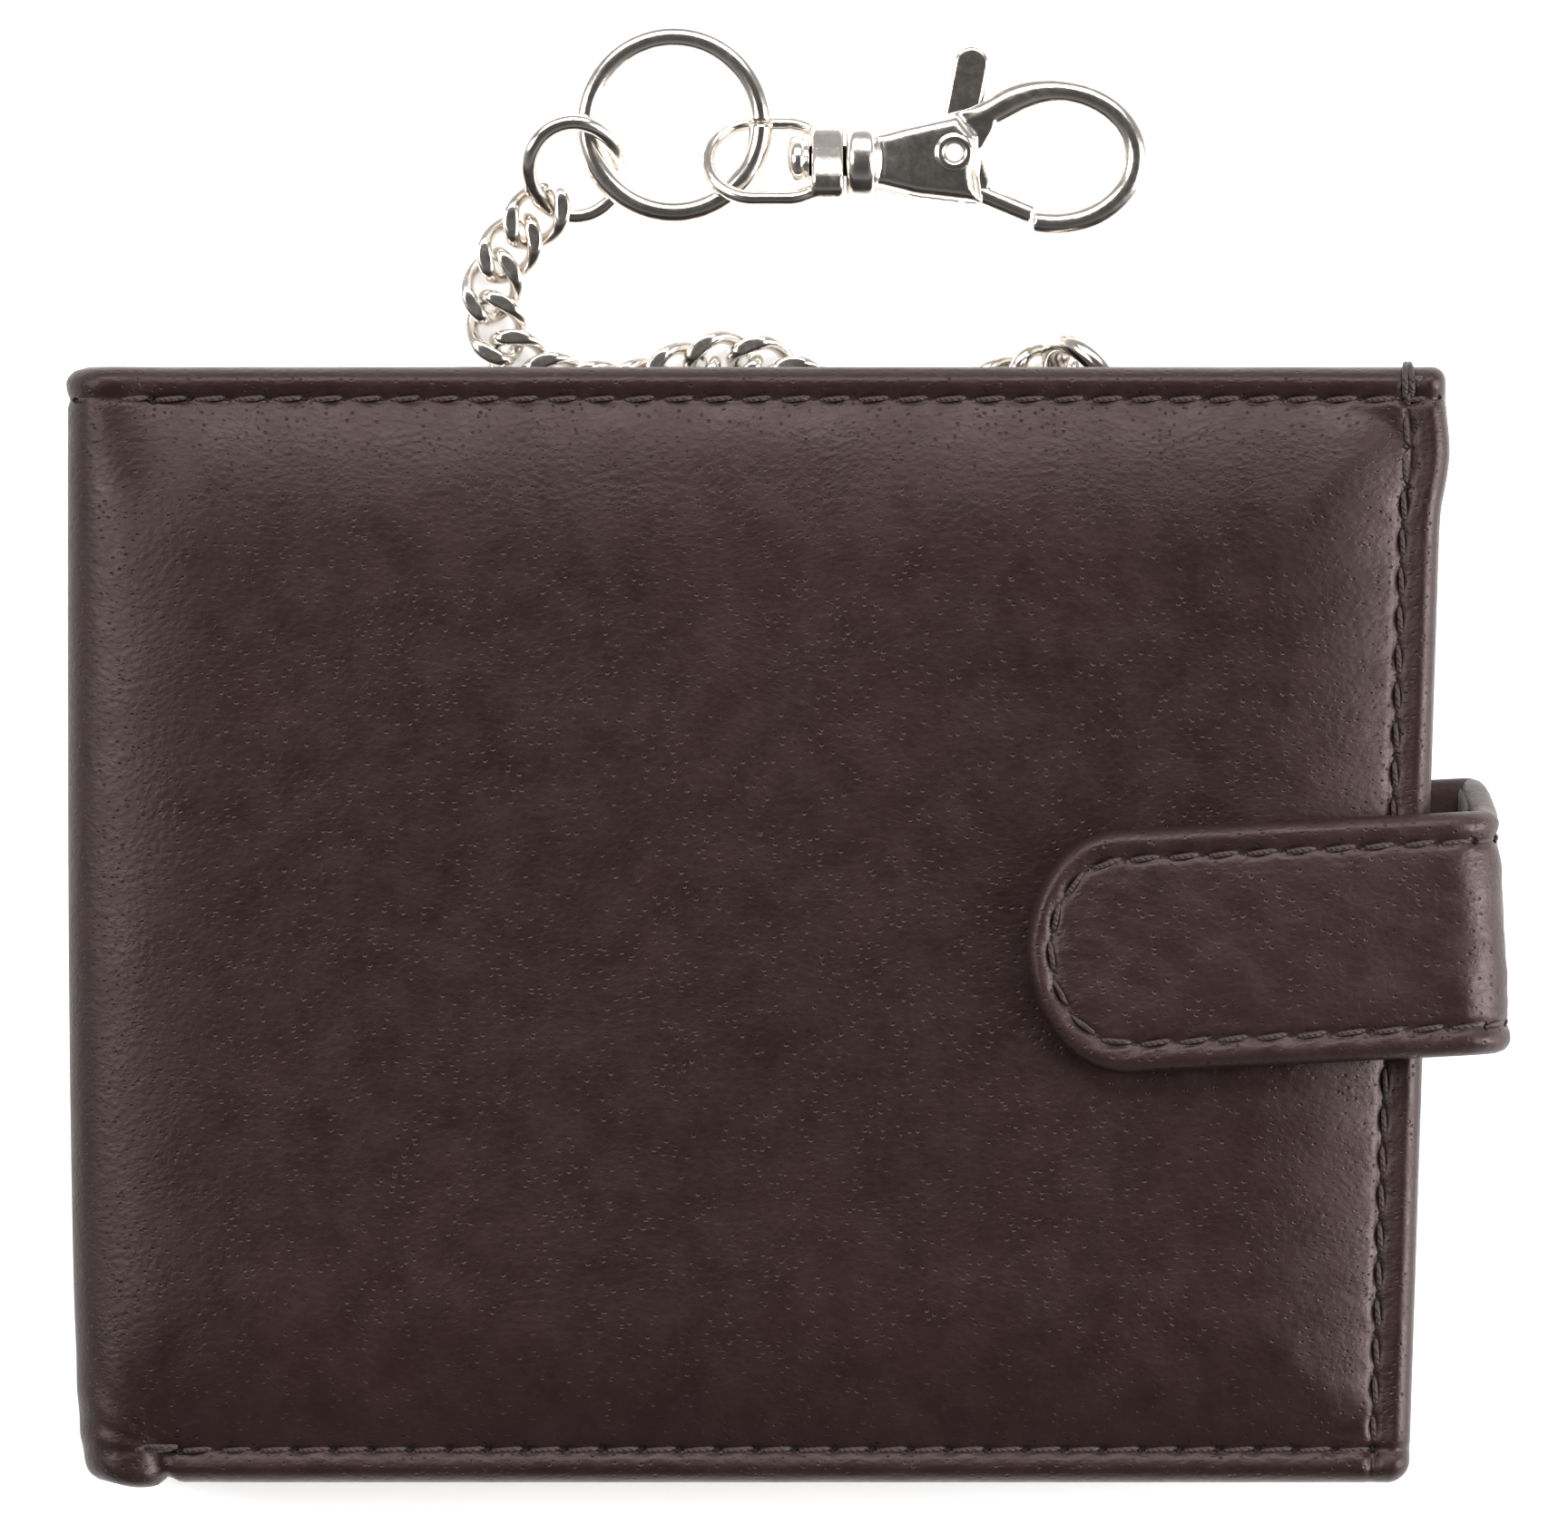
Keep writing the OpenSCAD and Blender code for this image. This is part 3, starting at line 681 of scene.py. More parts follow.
# ---- Stitches ----
def stitch(a, b, up, radius=0.21, rise=0.1, sink=0.34, steps=9, sides=8):
    """One stitch from hole a to hole b, arched and dipping into both."""
    a, b, up = np.array(a, float), np.array(b, float), np.array(up, float)
    t = np.linspace(0, 1, steps)
    arch = np.sin(np.pi * t)
    path = a + (b - a) * t[:, None] + up * (-sink + (sink + rise) * arch**0.45)[:, None]
    return tube(path, radius * (0.72 + 0.28 * arch**0.5), sides)


def stitches_along(line, ups, pitch=PITCH, slant=0.26, gap=0.5, radius=0.21, start=0.0):
    """Stitches along a polyline: each is a little shorter than the pitch and slants across it."""
    line = np.asarray(line, float)
    ups = np.asarray(ups, float)
    step = np.linalg.norm(np.diff(line, axis=0), axis=1)
    length = np.concatenate([[0], np.cumsum(step)])
    count = max(1, int((length[-1] - start) / pitch))
    pitch = (length[-1] - start) / count
    parts, holes = [], []

    def at(s):
        return np.array([np.interp(s, length, line[:, k]) for k in range(3)])

    def up_at(s):
        v = np.array([np.interp(s, length, ups[:, k]) for k in range(3)])
        return v / np.linalg.norm(v)

    for i in range(count):
        s0 = start + i * pitch + gap / 2
        s1 = start + (i + 1) * pitch - gap / 2
        wobble = (rng.random(3) - 0.5) * 0.12
        a, b = at(s0 + wobble[0]), at(s1 + wobble[1])
        up = up_at((s0 + s1) / 2)
        along = unit(b - a)
        across = np.cross(up, along) * (slant + wobble[2] * 0.4) / 2
        a, b = a - across, b + across
        parts.append(stitch(a, b, up, radius * (0.94 + 0.12 * rng.random())))
        holes += [(a - along * 0.1, up), (b + along * 0.1, up)]
    return parts, holes


def hole_shade_cones(holes, radius=0.3, lift=0.03, sides=9):
    """A small near-black cone for every needle hole: painted shade inside the hole."""
    parts = []
    for p, up in holes:
        u = unit(np.cross(up, [0.3, 1.0, 0.2])) * radius * 1.1
        v = unit(np.cross(up, u)) * radius * 0.85
        turns = np.linspace(0, 2 * np.pi, sides, endpoint=False)
        rim = [p + up * lift + math.cos(a) * u + math.sin(a) * v for a in turns]
        parts.append((rim + [p - up * 0.25], [(k, (k + 1) % sides, sides) for k in range(sides)]))
    return parts


def seam_front():
    """The three runs of the front seam on the leather's surface."""
    top = [(x, HALF_H - TOP_SEAM) for x in np.linspace(LEFT + 0.7, TOP_RIGHT - 0.6, 90)]
    side = [(right_edge(y) - RIGHT_SEAM, y) for y in np.linspace(HALF_H - 0.4, -HALF_H + BOTTOM_SEAM, 75)]
    from_x = right_edge(-HALF_H) - RIGHT_SEAM
    bottom = [(x, -HALF_H + BOTTOM_SEAM) for x in np.linspace(from_x, BOTTOM_SEAM_FROM, 80)]
    return [top, side, bottom]


parts, holes = [], []
for run in seam_front():
    line = np.array([(x, y, front_height(x, y)) for x, y in run])
    line[:, 2] = np.convolve(np.pad(line[:, 2], 2, "edge"), np.ones(5) / 5, "valid") + 0.14
    p, h = stitches_along(line, np.tile([0, 0, 1.0], (len(line), 1)))
    parts += p
    holes += h
# double stitches where the bottom seam starts, and the back-tack over the top edge
start_x, start_y = BOTTOM_SEAM_FROM, -HALF_H + BOTTOM_SEAM
z = front_height(start_x, start_y) + 0.1
tack_x = right_edge(HALF_H) - RIGHT_SEAM
parts.append(stitch((start_x + 0.2, start_y + 0.32, z), (start_x + 3.0, start_y + 0.25, z), UP))
parts.append(stitch((start_x - 0.5, start_y - 0.1, z - 0.1), (start_x + 0.3, start_y + 0.3, z), UP))
# each point of a tack thread: its share of the offset, how far past the top edge, and its height
TACK = (
    (1, -2.4, 17.2), (1, -1.9, 17.85), (1, -0.9, 17.75), (0.8, -0.1, 17.1), (0.6, 0.22, 16.2),
    (0.5, -0.2, 15.1),
)
for offset in (-0.28, 0.28):
    parts.append(tube([(tack_x + offset * share, HALF_H + past, z) for share, past, z in TACK], 0.27, 8))
parts.append(stitch((tack_x + 0.1, HALF_H - 1.25, 17.85), (tack_x + 1.2, HALF_H - 1.0, 17.8), UP, 0.25))
front_stitches = make("front_stitches", *joined(parts), THREAD)
piece(front_stitches, "front_half", ["front_thread"])
# near-black cones in the front needle holes: painted shade
front_hole_shade = make("front_needle_holes", *joined(hole_shade_cones(holes)), HOLE_SHADE, smooth=False)
piece(front_hole_shade, "front_half")

# back seam, seen from below, with a gap round the eyelet
BACK_Z = 4.32
seam_y = HALF_H - BACK_SEAM
runs = [[(x, seam_y) for x in np.linspace(-52, 26, 60)], [(x, seam_y) for x in np.linspace(34, 53, 20)]]
runs.append([(right_edge(y) - BACK_SEAM - 0.6, y) for y in np.linspace(seam_y, -seam_y, 70)])
from_x = right_edge(-HALF_H) - BACK_SEAM - 0.6
runs.append([(x, -seam_y) for x in np.linspace(from_x, BOTTOM_SEAM_FROM, 80)])
parts = []
for run in runs:
    p, _ = stitches_along([(x, y, BACK_Z) for x, y in run], np.tile([0, 0, -1.0], (len(run), 1)))
    parts += p
back_stitches = make("back_stitches", *joined(parts), THREAD)
piece(back_stitches, "back_half", ["back_thread"])


# ---- Inside panels: thin slabs with rounded edges and a turned top edge ----
def half_points(inset, cut_top=0.0, r=2.2, steps=8):
    """Outline of a panel of one half, inset from its edges and cut off below the top."""
    y_top, y_low = HALF_H - max(inset, cut_top), -HALF_H + inset
    corners = [
        (HALF_LEFT + inset, y_low, 1, 1, 180), (right_edge(-HALF_H) - inset, y_low, -1, 1, 270),
        (right_edge(y_top) - inset, y_top, -1, -1, 0), (HALF_LEFT + inset, y_top, 1, -1, 90),
    ]
    r = max(r - inset, 0.6)
    out = []
    for x, y, sx, sy, start in corners:
        for a in np.radians(np.linspace(start, start + 90, steps + 1)):
            out.append((x + sx * r + r * math.cos(a), y + sy * r + r * math.sin(a)))
    return out


def stacked(outline, out_dir, levels):
    """A closed solid from copies of an outline, each moved out by some amount and set at a height."""
    n = len(outline)
    verts = [(*(outline[i] + out_dir[i] * out), z) for out, z in levels for i in range(n)]
    faces = grid_faces(len(levels), n, True)
    return verts, faces + [tuple(range(n - 1, -1, -1)), tuple(range((len(levels) - 1) * n, len(levels) * n))]


def slab(name, outline, low, high, material, edge=0.16):
    """A thin panel with rounded edges."""
    pts = np.array(outline)
    t = unit(np.roll(pts, -1, 0) - np.roll(pts, 1, 0))
    out_dir = np.stack([t[:, 1], -t[:, 0]], 1)
    if ((pts - np.mean(outline, axis=0)) * out_dir).sum() < 0:
        out_dir = -out_dir
    e = min(edge, (high - low) / 2)
    rounding = [(-e - 0.5, 0.0), (-e, 0.0), (-0.3 * e, 0.3 * e), (0, e)]
    levels = [(out, low + rise) for out, rise in rounding]
    levels += [(out, high - rise) for out, rise in rounding[::-1]]
    return outward(make(name, *stacked(pts, out_dir, levels), material))


def turned_edge(name, x0, x1, y, z, facing, material, body, slot):
    """A folded-over strip along a pocket's opening with a row of fine stitches."""
    path = [(x, y, z) for x in np.linspace(x0 + 0.6, x1 - 0.6, 60)]
    verts, faces = tube(path, 0.34, 10, cap_round=0.2)
    piece(make(name, verts, faces, material), body)
    line = [(x, y - 1.6, z + facing * 0.22) for x in np.linspace(x0 + 3, x1 - 3, 60)]
    p, _ = stitches_along(line, np.tile([0, 0, float(facing)], (60, 1)), pitch=2.6, radius=0.16, slant=0.1)
    piece(make(name + "_stitches", *joined(p), THREAD), body)


def node_z(node):
    """Lowest and highest point of a CAD node, in millimetres."""
    low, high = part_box(node)
    return low[2] / MM, high[2] / MM


INSIDE = (
    ("front_lining", "front_half", "lining_fabric", 0.6, 0.0, LINING),
    ("card_pocket_1", "front_half", "pocket_leather", 1.2, 16.0, POCKET),
    ("card_pocket_2", "front_half", "pocket_leather", 1.2, 27.0, POCKET),
    ("card_pocket_3", "front_half", "pocket_leather", 1.2, 38.0, POCKET),
    ("back_lining", "back_half", "lining_fabric", 0.6, 0.0, LINING),
    ("card_pocket_4", "back_half", "pocket_leather", 1.2, 16.0, POCKET),
    ("card_pocket_5", "back_half", "pocket_leather", 1.2, 27.0, POCKET),
)
for node, body, slot, edge_gap, cut, material in INSIDE:
    low, high = node_z(node)
    panel = slab(node + "_panel", half_points(edge_gap, cut), low, high, material)
    piece(panel, body, [node])
    if cut:
        facing = -1 if body == "front_half" else 1
        z = (low + 0.1 if facing < 0 else high - 0.1) + facing * 0.04
        y_top = HALF_H - cut
        ends = HALF_LEFT + edge_gap, right_edge(y_top) - edge_gap
        turned_edge(node + "_lip", *ends, y_top - 0.3, z, facing, EDGE, body, slot)

# walls that close the two halves at the fold
FOLD_WALLS = (("back_fold_wall", "back_half", 3.4, 9.3), ("front_fold_wall", "front_half", 14.3, 16.9))
for name, body, low, high in FOLD_WALLS:
    profile = [
        (2.5, low + 0.3), (0.5, low), (0, low + 0.5), (-0.1, (low + high) / 2), (0, high - 0.5),
        (0.5, high - 0.05), (2.5, high - 0.1),
    ]
    ys = np.linspace(-HALF_H + 1.6, HALF_H - 1.6, 90)
    verts = [(HALF_LEFT + x + 0.05 * math.sin(0.9 * y), y, z) for y in ys for x, z in profile]
    piece(make(name, verts, grid_faces(len(ys), len(profile)), EDGE), body)

# spine lining: a soft strip with a few lengthwise ribs
SPINE_X, RIB_GAP = -55.5, 2.6
low, high = node_z("spine_lining")
ys, zs = np.linspace(-HALF_H + 1, HALF_H - 1, 120), np.linspace(low - 0.6, high + 0.6, 30)
y, z = np.meshgrid(ys, zs, indexing="ij")
x = SPINE_X + 0.12 * np.cos(2 * np.pi * (z - low) / RIB_GAP) + 0.08 * np.sin(0.35 * y + 0.5 * z)
spine_strip = make("spine_lining_strip", np.stack([x, y, z], -1).reshape(-1, 3), grid_faces(*y.shape), LINING)
piece(spine_strip, "spine", ["spine_lining"])

for node, material in (
    ("back_stiffener", BOARD), ("front_padding", FOAM), ("note_pocket", LINING), ("id_window", FILM),
    ("gate_spring", SPRING), ("snap_cap", SNAP_METAL), ("snap_post", SNAP_METAL), ("strap_anchor", EDGE),
):
    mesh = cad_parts[node].data
    mesh.materials.clear()
    mesh.materials.append(material)


# ---- Strap: outer leather and lining as one padded strip that bends round the edge of the wallet ----
TAB_LENGTH, TAB_END = 38.5, 8.0
BEND_HIGH, BEND_LOW = 4.4, 1.9
LOOP_SHIFT = 2.7
OUT_X, OUT_Z = 1.25, 1.25
STRAP_SEAM, STRAP_THICK = 2.45, 2.4
# the strap's underside near its edge: how far in, and how far below the outer surface
UNDERSIDE = ((0.06, -1.4), (0.3, -1.75), (0.7, -2.1), (1.2, -2.3), (2.2, -STRAP_THICK))


def strap_curve():
    """Side profile of the strap's outer surface in its own x and z, from the free end round to the anchor."""
    high_x, low_x = OUT_X - BEND_HIGH, OUT_X - BEND_LOW
    pts = []
    for x in np.linspace(-TAB_LENGTH, high_x, 130):
        sag = 0.25 * ease((x + 14) / 10) + 0.12 * ease((-TAB_LENGTH + 5 - x) / 5)
        pts.append((x, STRAP_HIGH + OUT_Z - sag))
    centre_z = pts[-1][1] - BEND_HIGH
    for a in np.radians(np.linspace(90, 0, 22)[1:]):
        pts.append((high_x + BEND_HIGH * math.cos(a), centre_z + BEND_HIGH * math.sin(a)))
    low, high = STRAP_LOW - OUT_Z + BEND_LOW, pts[-1][1]
    for z in np.linspace(high, low, 44)[1:]:
        pts.append((OUT_X + 0.12 * math.sin(math.pi * (z - low) / (high - low)), z))
    for a in np.radians(np.linspace(0, -90, 14)[1:]):
        pts.append((low_x + BEND_LOW * math.cos(a), low + BEND_LOW * math.sin(a)))
    for x in np.linspace(low_x, -9, 22)[1:]:
        pts.append((x, STRAP_LOW - OUT_Z + 0.5 * ease(-x / 6)))
    return np.array(pts)


CURVE = strap_curve()
ARC = np.concatenate([[0], np.cumsum(np.linalg.norm(np.diff(CURVE, axis=0), axis=1))])
CURVE_T = unit(np.gradient(CURVE, axis=0))


def strap_point(s, c, h):
    """Point at length s from the free end, c across, h above the outer surface."""
    s = np.asarray(s, float)
    x, z = np.interp(s, ARC, CURVE[:, 0]), np.interp(s, ARC, CURVE[:, 1])
    tx, tz = np.interp(s, ARC, CURVE_T[:, 0]), np.interp(s, ARC, CURVE_T[:, 1])
    size = np.hypot(tx, tz)
    nx, nz = -tz / size, tx / size
    c = c + LOOP_SHIFT * ease((s - 41) / 17)
    px, pz = x + nx * h, z + nz * h
    across_x, across_y = px * STRAP_COS - c * STRAP_SIN, px * STRAP_SIN + c * STRAP_COS
    return np.stack([STRAP_X + across_x, STRAP_Y + across_y, pz], -1)


def strap_up(s):
    """The way off the strap's outer surface at lengths s."""
    flat = np.zeros_like(s)
    return strap_point(s, flat, flat + 1) - strap_point(s, flat, flat)


def strap_height(inset, run):
    """Height of the strap's top, inset from its edge: seam groove, rolled edge and padding."""
    seam = -groove(inset, STRAP_SEAM, run / PITCH, 0.4, 0.4) + 0.16 * np.exp(-(((inset - 1.15) / 0.75) ** 2))
    roll = 1.1 * (1 - math.sqrt(max(0, 1 - max(0, (1.15 - inset) / 1.15) ** 2)))
    return seam - roll + 0.12 * float(ease((inset - 2.8) / 2.5))


def show_suede(obj, is_inside):
    """Gives the strap's inner faces their own material."""
    obj.data.materials.append(SUEDE)
    for p in obj.data.polygons:
        if is_inside(p.index):
            p.material_index = 1


STRAP_INSETS = np.concatenate([np.arange(0, 4.4, 0.22), np.linspace(4.4, STRAP_W / 2, 9)])


def strap_end(name, s_to):
    """The strap's free end, from its round tip to s_to, in rows that run round the tip."""
    half = STRAP_W / 2
    straight = np.append(np.arange(s_to, TAB_END, -0.5), TAB_END)
    turn = np.radians(np.linspace(90, 270, 73)[1:-1])
    grain_bump, rim_bump = wave_noise(21, 2.6), wave_noise(22, 5.0)

    def track(inset):
        q = (half - inset) / half
        row = [(s, half * q) for s in straight]
        # cos is negative here, so the row runs round the free end
        row += [(TAB_END + TAB_END * q * math.cos(a), half * q * math.sin(a)) for a in turn]
        return np.array(row + [(s, -half * q) for s in straight[::-1]])

    rows = []
    for inset in STRAP_INSETS[::-1]:
        row = track(inset)
        run = np.concatenate([[0], np.cumsum(np.linalg.norm(np.diff(row, axis=0), axis=1))])
        inner = float(ease((inset - 2.8) / 2.5))
        h = strap_height(inset, run) + 0.022 * inner * grain_bump(row[:, 0] * 0.6, row[:, 1] * 1.6)
        h = h + 0.03 * rim_bump(row[:, 0], row[:, 1]) * float(ease(inset / 1.0))
        rows.append(strap_point(row[:, 0], row[:, 1], h))
    for inset, h in (*UNDERSIDE, (5.0, -STRAP_THICK), (half, -STRAP_THICK)):
        row = track(inset)
        rows.append(strap_point(row[:, 0], row[:, 1], np.full(len(row), h)))
    cols = len(rows[0])
    obj = make(name, np.array(rows).reshape(-1, 3), grid_faces(len(rows), cols), STRAP_NAPPA)
    show_suede(obj, lambda face: face // (cols - 1) >= len(STRAP_INSETS) + 3)
    return outward(merge(obj))


def strap_strip(name, s_from, s_to):
    """A straight-sided stretch of the strap, closed all round."""
    half = STRAP_W / 2
    top = [(-(half - i), i) for i in STRAP_INSETS] + [(half - i, i) for i in STRAP_INSETS][::-1][1:]
    bottom = [(half - i, h) for i, h in UNDERSIDE]
    bottom += [(c, -STRAP_THICK) for c in np.linspace(half - 3, -half + 3, 9)]
    bottom += [(-half + i, h) for i, h in UNDERSIDE[::-1]]
    across = np.array([c for c, _ in top + bottom])
    rows = []
    for s in np.linspace(s_from, s_to, int((s_to - s_from) / 0.5) + 1):
        heights = [strap_height(i, s) for _, i in top] + [h for _, h in bottom]
        rows.append(strap_point(np.full(len(across), s), across, np.array(heights)))
    cols = len(across)
    obj = make(name, np.array(rows).reshape(-1, 3), grid_faces(len(rows), cols, True), STRAP_NAPPA)
    show_suede(obj, lambda face: len(top) + 2 <= face % cols < cols - 4)
    return outward(obj)


MID_S = float(ARC[np.argmin(np.abs(CURVE[:, 1] - 12.6) + 10 * (CURVE[:, 0] < 1))])
END_S = float(ARC[-1])
strap_tab = strap_end("strap_tab_strip", MID_S + 0.3)
tab_nodes = ["strap_tab_leather", "strap_tab_lining", "strap_loop_leather"]
across_joint(strap_tab, *STRAP_HIGH_BEND, "outer_leather", tab_nodes)
strap_low = strap_strip("strap_loop_strip", MID_S, END_S)
across_joint(strap_low, *STRAP_LOW_BEND, "outer_leather", ["strap_loop_lining"])


def strap_seam(s_far):
    """Length and place across of the seam round the free end, out to s_far on both sides."""
    half = STRAP_W / 2 - STRAP_SEAM
    end_length = TAB_END * half / (STRAP_W / 2)
    turn = np.linspace(math.pi / 2, 1.5 * math.pi, 40)[1:-1]
    line = [(s, half) for s in np.linspace(s_far, TAB_END, 60)]
    line += [(TAB_END + end_length * math.cos(a), half * math.sin(a)) for a in turn]
    return np.array(line + [(s, -half) for s in np.linspace(TAB_END, s_far, 60)])


def strap_stitches(s, c):
    """Stitches along a line on the strap, sunk a little into its groove."""
    return stitches_along(strap_point(s, c, np.full(len(s), -0.24)), strap_up(s))


parts, holes = strap_stitches(*strap_seam(MID_S).T)
across_joint(make("strap_stitches", *joined(parts), THREAD), *STRAP_HIGH_BEND, "thread", ["strap_thread"])
# near-black cones in the strap's needle holes: painted shade
tab_hole_shade = make("strap_needle_holes", *joined(hole_shade_cones(holes)), HOLE_SHADE, smooth=False)
across_joint(tab_hole_shade, *STRAP_HIGH_BEND, "thread")
parts = []
for sign in (-1, 1):
    s = np.linspace(MID_S + 0.4, END_S - 6, 50)
    parts += strap_stitches(s, np.full(len(s), sign * (STRAP_W / 2 - STRAP_SEAM)))[0]
across_joint(make("strap_loop_stitches", *joined(parts), THREAD), *STRAP_LOW_BEND, "thread")


# ---- Snap parts and eyelet: profiles of height and radius ----
def snap_place(z):
    return (STRAP_X + SNAP_X * STRAP_COS, STRAP_Y + SNAP_X * STRAP_SIN, z)


stud = [
    (0, 0), (0, 1.68), (0.25, 1.68), (0.4, 1.3), (0.55, 1.28), (0.8, 1.6), (0.98, 1.6), (1.08, 1.35),
    (1.1, 0.8), (0.9, 0.0),
]
turned("snap_stud_turned", stud, snap_place(20.02), SNAP_METAL, "front_half", "snap_stud")
socket = [
    (0.95, 2.3), (0.4, 2.32), (0.2, 2.5), (0.0, 2.9), (0.0, 3.7), (0.1, 4.0), (0.4, 4.1), (0.9, 4.1),
    (0.95, 3.9), (0.95, 2.3),
]
socket_place = snap_place(STRAP_HIGH - OUT_Z)
turned("snap_socket_turned", socket, socket_place, SNAP_METAL, "strap_tab", "snap_socket")
eyelet = [
    (3.66, 2.1), (3.62, 2.5), (3.66, 2.9), (3.8, 3.02), (3.98, 3.0), (4.05, 2.6), (4.1, 2.4), (5.2, 2.4),
    (5.24, 2.7), (5.3, 3.0), (5.5, 3.04), (5.64, 2.9), (5.68, 2.5), (5.62, 2.1), (3.66, 2.1),
]
turned("chain_eyelet_turned", eyelet, (30.1, 42.9, 0), NICKEL, "back_half", "chain_eyelet")

# ---- Chain ----
HEADINGS = (230, 245, 276, 305, 332, 350, 364, 382, 374, 352, 330, 332, 352, 364, 372, 382, 380)
LINK_PITCH, LINK_A, LINK_B, LINK_WIRE, LINK_FLAT, CHAIN_Z = 3.6, 2.8, 2.15, 1.35, 1.3, 1.66
spot = np.array([-18.6, 59.9])
centres = [spot]
for heading in HEADINGS:
    spot = spot + LINK_PITCH * np.array([math.cos(math.radians(heading)), math.sin(math.radians(heading))])
    centres.append(spot)
LAST_LINK = len(centres) - 1
between_links = [(before + after) / 2 for before, after in zip(HEADINGS[:-1], HEADINGS[1:])]
directions = [HEADINGS[0], *between_links, HEADINGS[-1]]


def link(index):
    """A twisted curb link with flats ground on it; the end links are raised into their rings."""
    last = index == LAST_LINK
    twist, roll = (-60.0, -9.6) if last else (-55.0, 0.0)
    rise = {0: 0.5, 1: 0.22, LAST_LINK: 0.25}.get(index, 0.0)
    t = np.linspace(0, 2 * np.pi, 72, endpoint=False)
    w = LINK_B * np.sin(t)
    turn = np.radians(twist) * np.cos(t) + math.radians(roll)
    path = np.stack([LINK_A * np.cos(t), w * np.cos(turn), w * np.sin(turn)], 1)
    wire = tube(path, LINK_WIRE / 2, 16, closed=True, flat_z=None if last else LINK_FLAT)
    return placed(wire, (*centres[index], CHAIN_Z + rise), turn_z(directions[index]))


for letter, first, last in (("a", 14, 17), ("b", 9, 13), ("c", 4, 8), ("d", 0, 3)):
    links = [link(i) for i in range(first, last + 1)]
    obj = outward(make(f"chain_curb_{letter}", *joined(links), CHAIN_NICKEL))
    piece(obj, f"chain_{letter}", [f"chain_links_{letter}"])

# ---- Rings ----
def ring(name, part, body, node):
    piece(outward(make(name, *part, NICKEL)), body, [node])


# the wallet-end ring leans through the eyelet
RING_R, RING_LEAN, RING_TURN = 3.84, math.radians(66.9), 39.3
t = np.linspace(0, 2 * np.pi, 128, endpoint=False)
along = RING_R * np.cos(t)
leaning = np.stack([along * math.cos(RING_LEAN), RING_R * np.sin(t), along * math.sin(RING_LEAN)], 1)
part = placed(tube(leaning, 0.95, 20, closed=True), (27.7, 45.84, 4.51), turn_z(RING_TURN))
ring("wallet_ring_wire", part, "wallet_ring", "wallet_end_ring")

# the hook-end ring is sprung open, one end above the other
HOOK_RING_R, HOOK_RING_SPREAD = 3.85, 2.3
t = np.radians(np.linspace(6, 352, 120))
s = np.sin(t - math.radians(26))
spread = HOOK_RING_SPREAD * s * (3 - s * s) / 2
path = np.stack([-15.4 + HOOK_RING_R * np.cos(t), 63.7 + HOOK_RING_R * np.sin(t), 3.4 + spread], 1)
ring("hook_ring_wire", tube(path, 0.75, 18, cap_round=0.05), "hook_ring", "hook_end_ring")

KEY_RING_R = 7.4
t = np.radians(np.linspace(1.9, 359.7, 160))
path = np.stack([-7 + KEY_RING_R * np.cos(t), 67.5 + KEY_RING_R * np.sin(t), np.full(len(t), 3.4)], 1)
ring("key_ring_wire", tube(path, 1.0, 20, cap_round=0.12), "key_ring_body", "key_ring")

# ---- Clasp ----
AXIS_Y, AXIS_Z = 64.4, 3.6
TILT = math.radians(-32)
TURN_X = np.array([[1, 0, 0], [0, math.cos(TILT), -math.sin(TILT)], [0, math.sin(TILT), math.cos(TILT)]])


def baked(obj):
    """The object's mesh with its modifiers applied."""
    return bpy.data.meshes.new_from_object(obj.evaluated_get(bpy.context.evaluated_depsgraph_get()))


def cut_part(part, cutters):
    """Points and faces of a closed part after the cutters are taken from it."""
    obj = outward(make("part", *part, HOLE_SHADE, smooth=False, scale=1.0))
    for k, shape in enumerate(cutters):
        tool = outward(make(f"cutter_{k}", *shape, HOLE_SHADE, smooth=False, scale=1.0))
        mod = obj.modifiers.new("cut", "BOOLEAN")
        mod.operation, mod.solver, mod.object = "DIFFERENCE", "EXACT", tool
        done = baked(obj)
        obj.modifiers.clear()
        obj.data = done
        bpy.data.objects.remove(tool)
    verts = [tuple(v.co) for v in obj.data.vertices]
    faces = [tuple(f.vertices) for f in obj.data.polygons]
    bpy.data.objects.remove(obj)
    return verts, faces


def casting(name, parts, voxel, smooth_times, material):
    """Overlapping closed parts, remeshed into one cast-looking skin with small fillets."""
    obj = make(name, *joined(parts), material, scale=1.0)
    remesh = obj.modifiers.new("fuse", "REMESH")
    remesh.mode = "VOXEL"
    remesh.voxel_size = voxel
    remesh.use_smooth_shade = True
    soften = obj.modifiers.new("soften", "SMOOTH")
    soften.factor = 0.5
    soften.iterations = smooth_times
    done = baked(obj)
    obj.modifiers.clear()
    obj.data = done
    done.transform(Matrix.Scale(MM, 4))
    done.materials.clear()
    done.materials.append(material)
    done.polygons.foreach_set("use_smooth", [True] * len(done.polygons))
    return obj


def corner_steps(outline):
    """For each corner of an outline, the step that moves both its edges out by one."""
    pts = np.array(outline, float)
    nxt, prv = np.roll(pts, -1, 0), np.roll(pts, 1, 0)
    a, b = unit(pts - prv), unit(nxt - pts)
    na, nb = np.stack([a[:, 1], -a[:, 0]], 1), np.stack([b[:, 1], -b[:, 0]], 1)
    out_dir = na + nb
    out_dir /= np.maximum((out_dir**2).sum(1), 0.6)[:, None] / 2 + 1e-9
    out_dir /= 2
    area = 0.5 * np.sum(pts[:, 0] * nxt[:, 1] - nxt[:, 0] * pts[:, 1])
    return -out_dir if area < 0 else out_dir


def shrunk(outline, by):
    return np.array(outline, float) - corner_steps(outline) * by


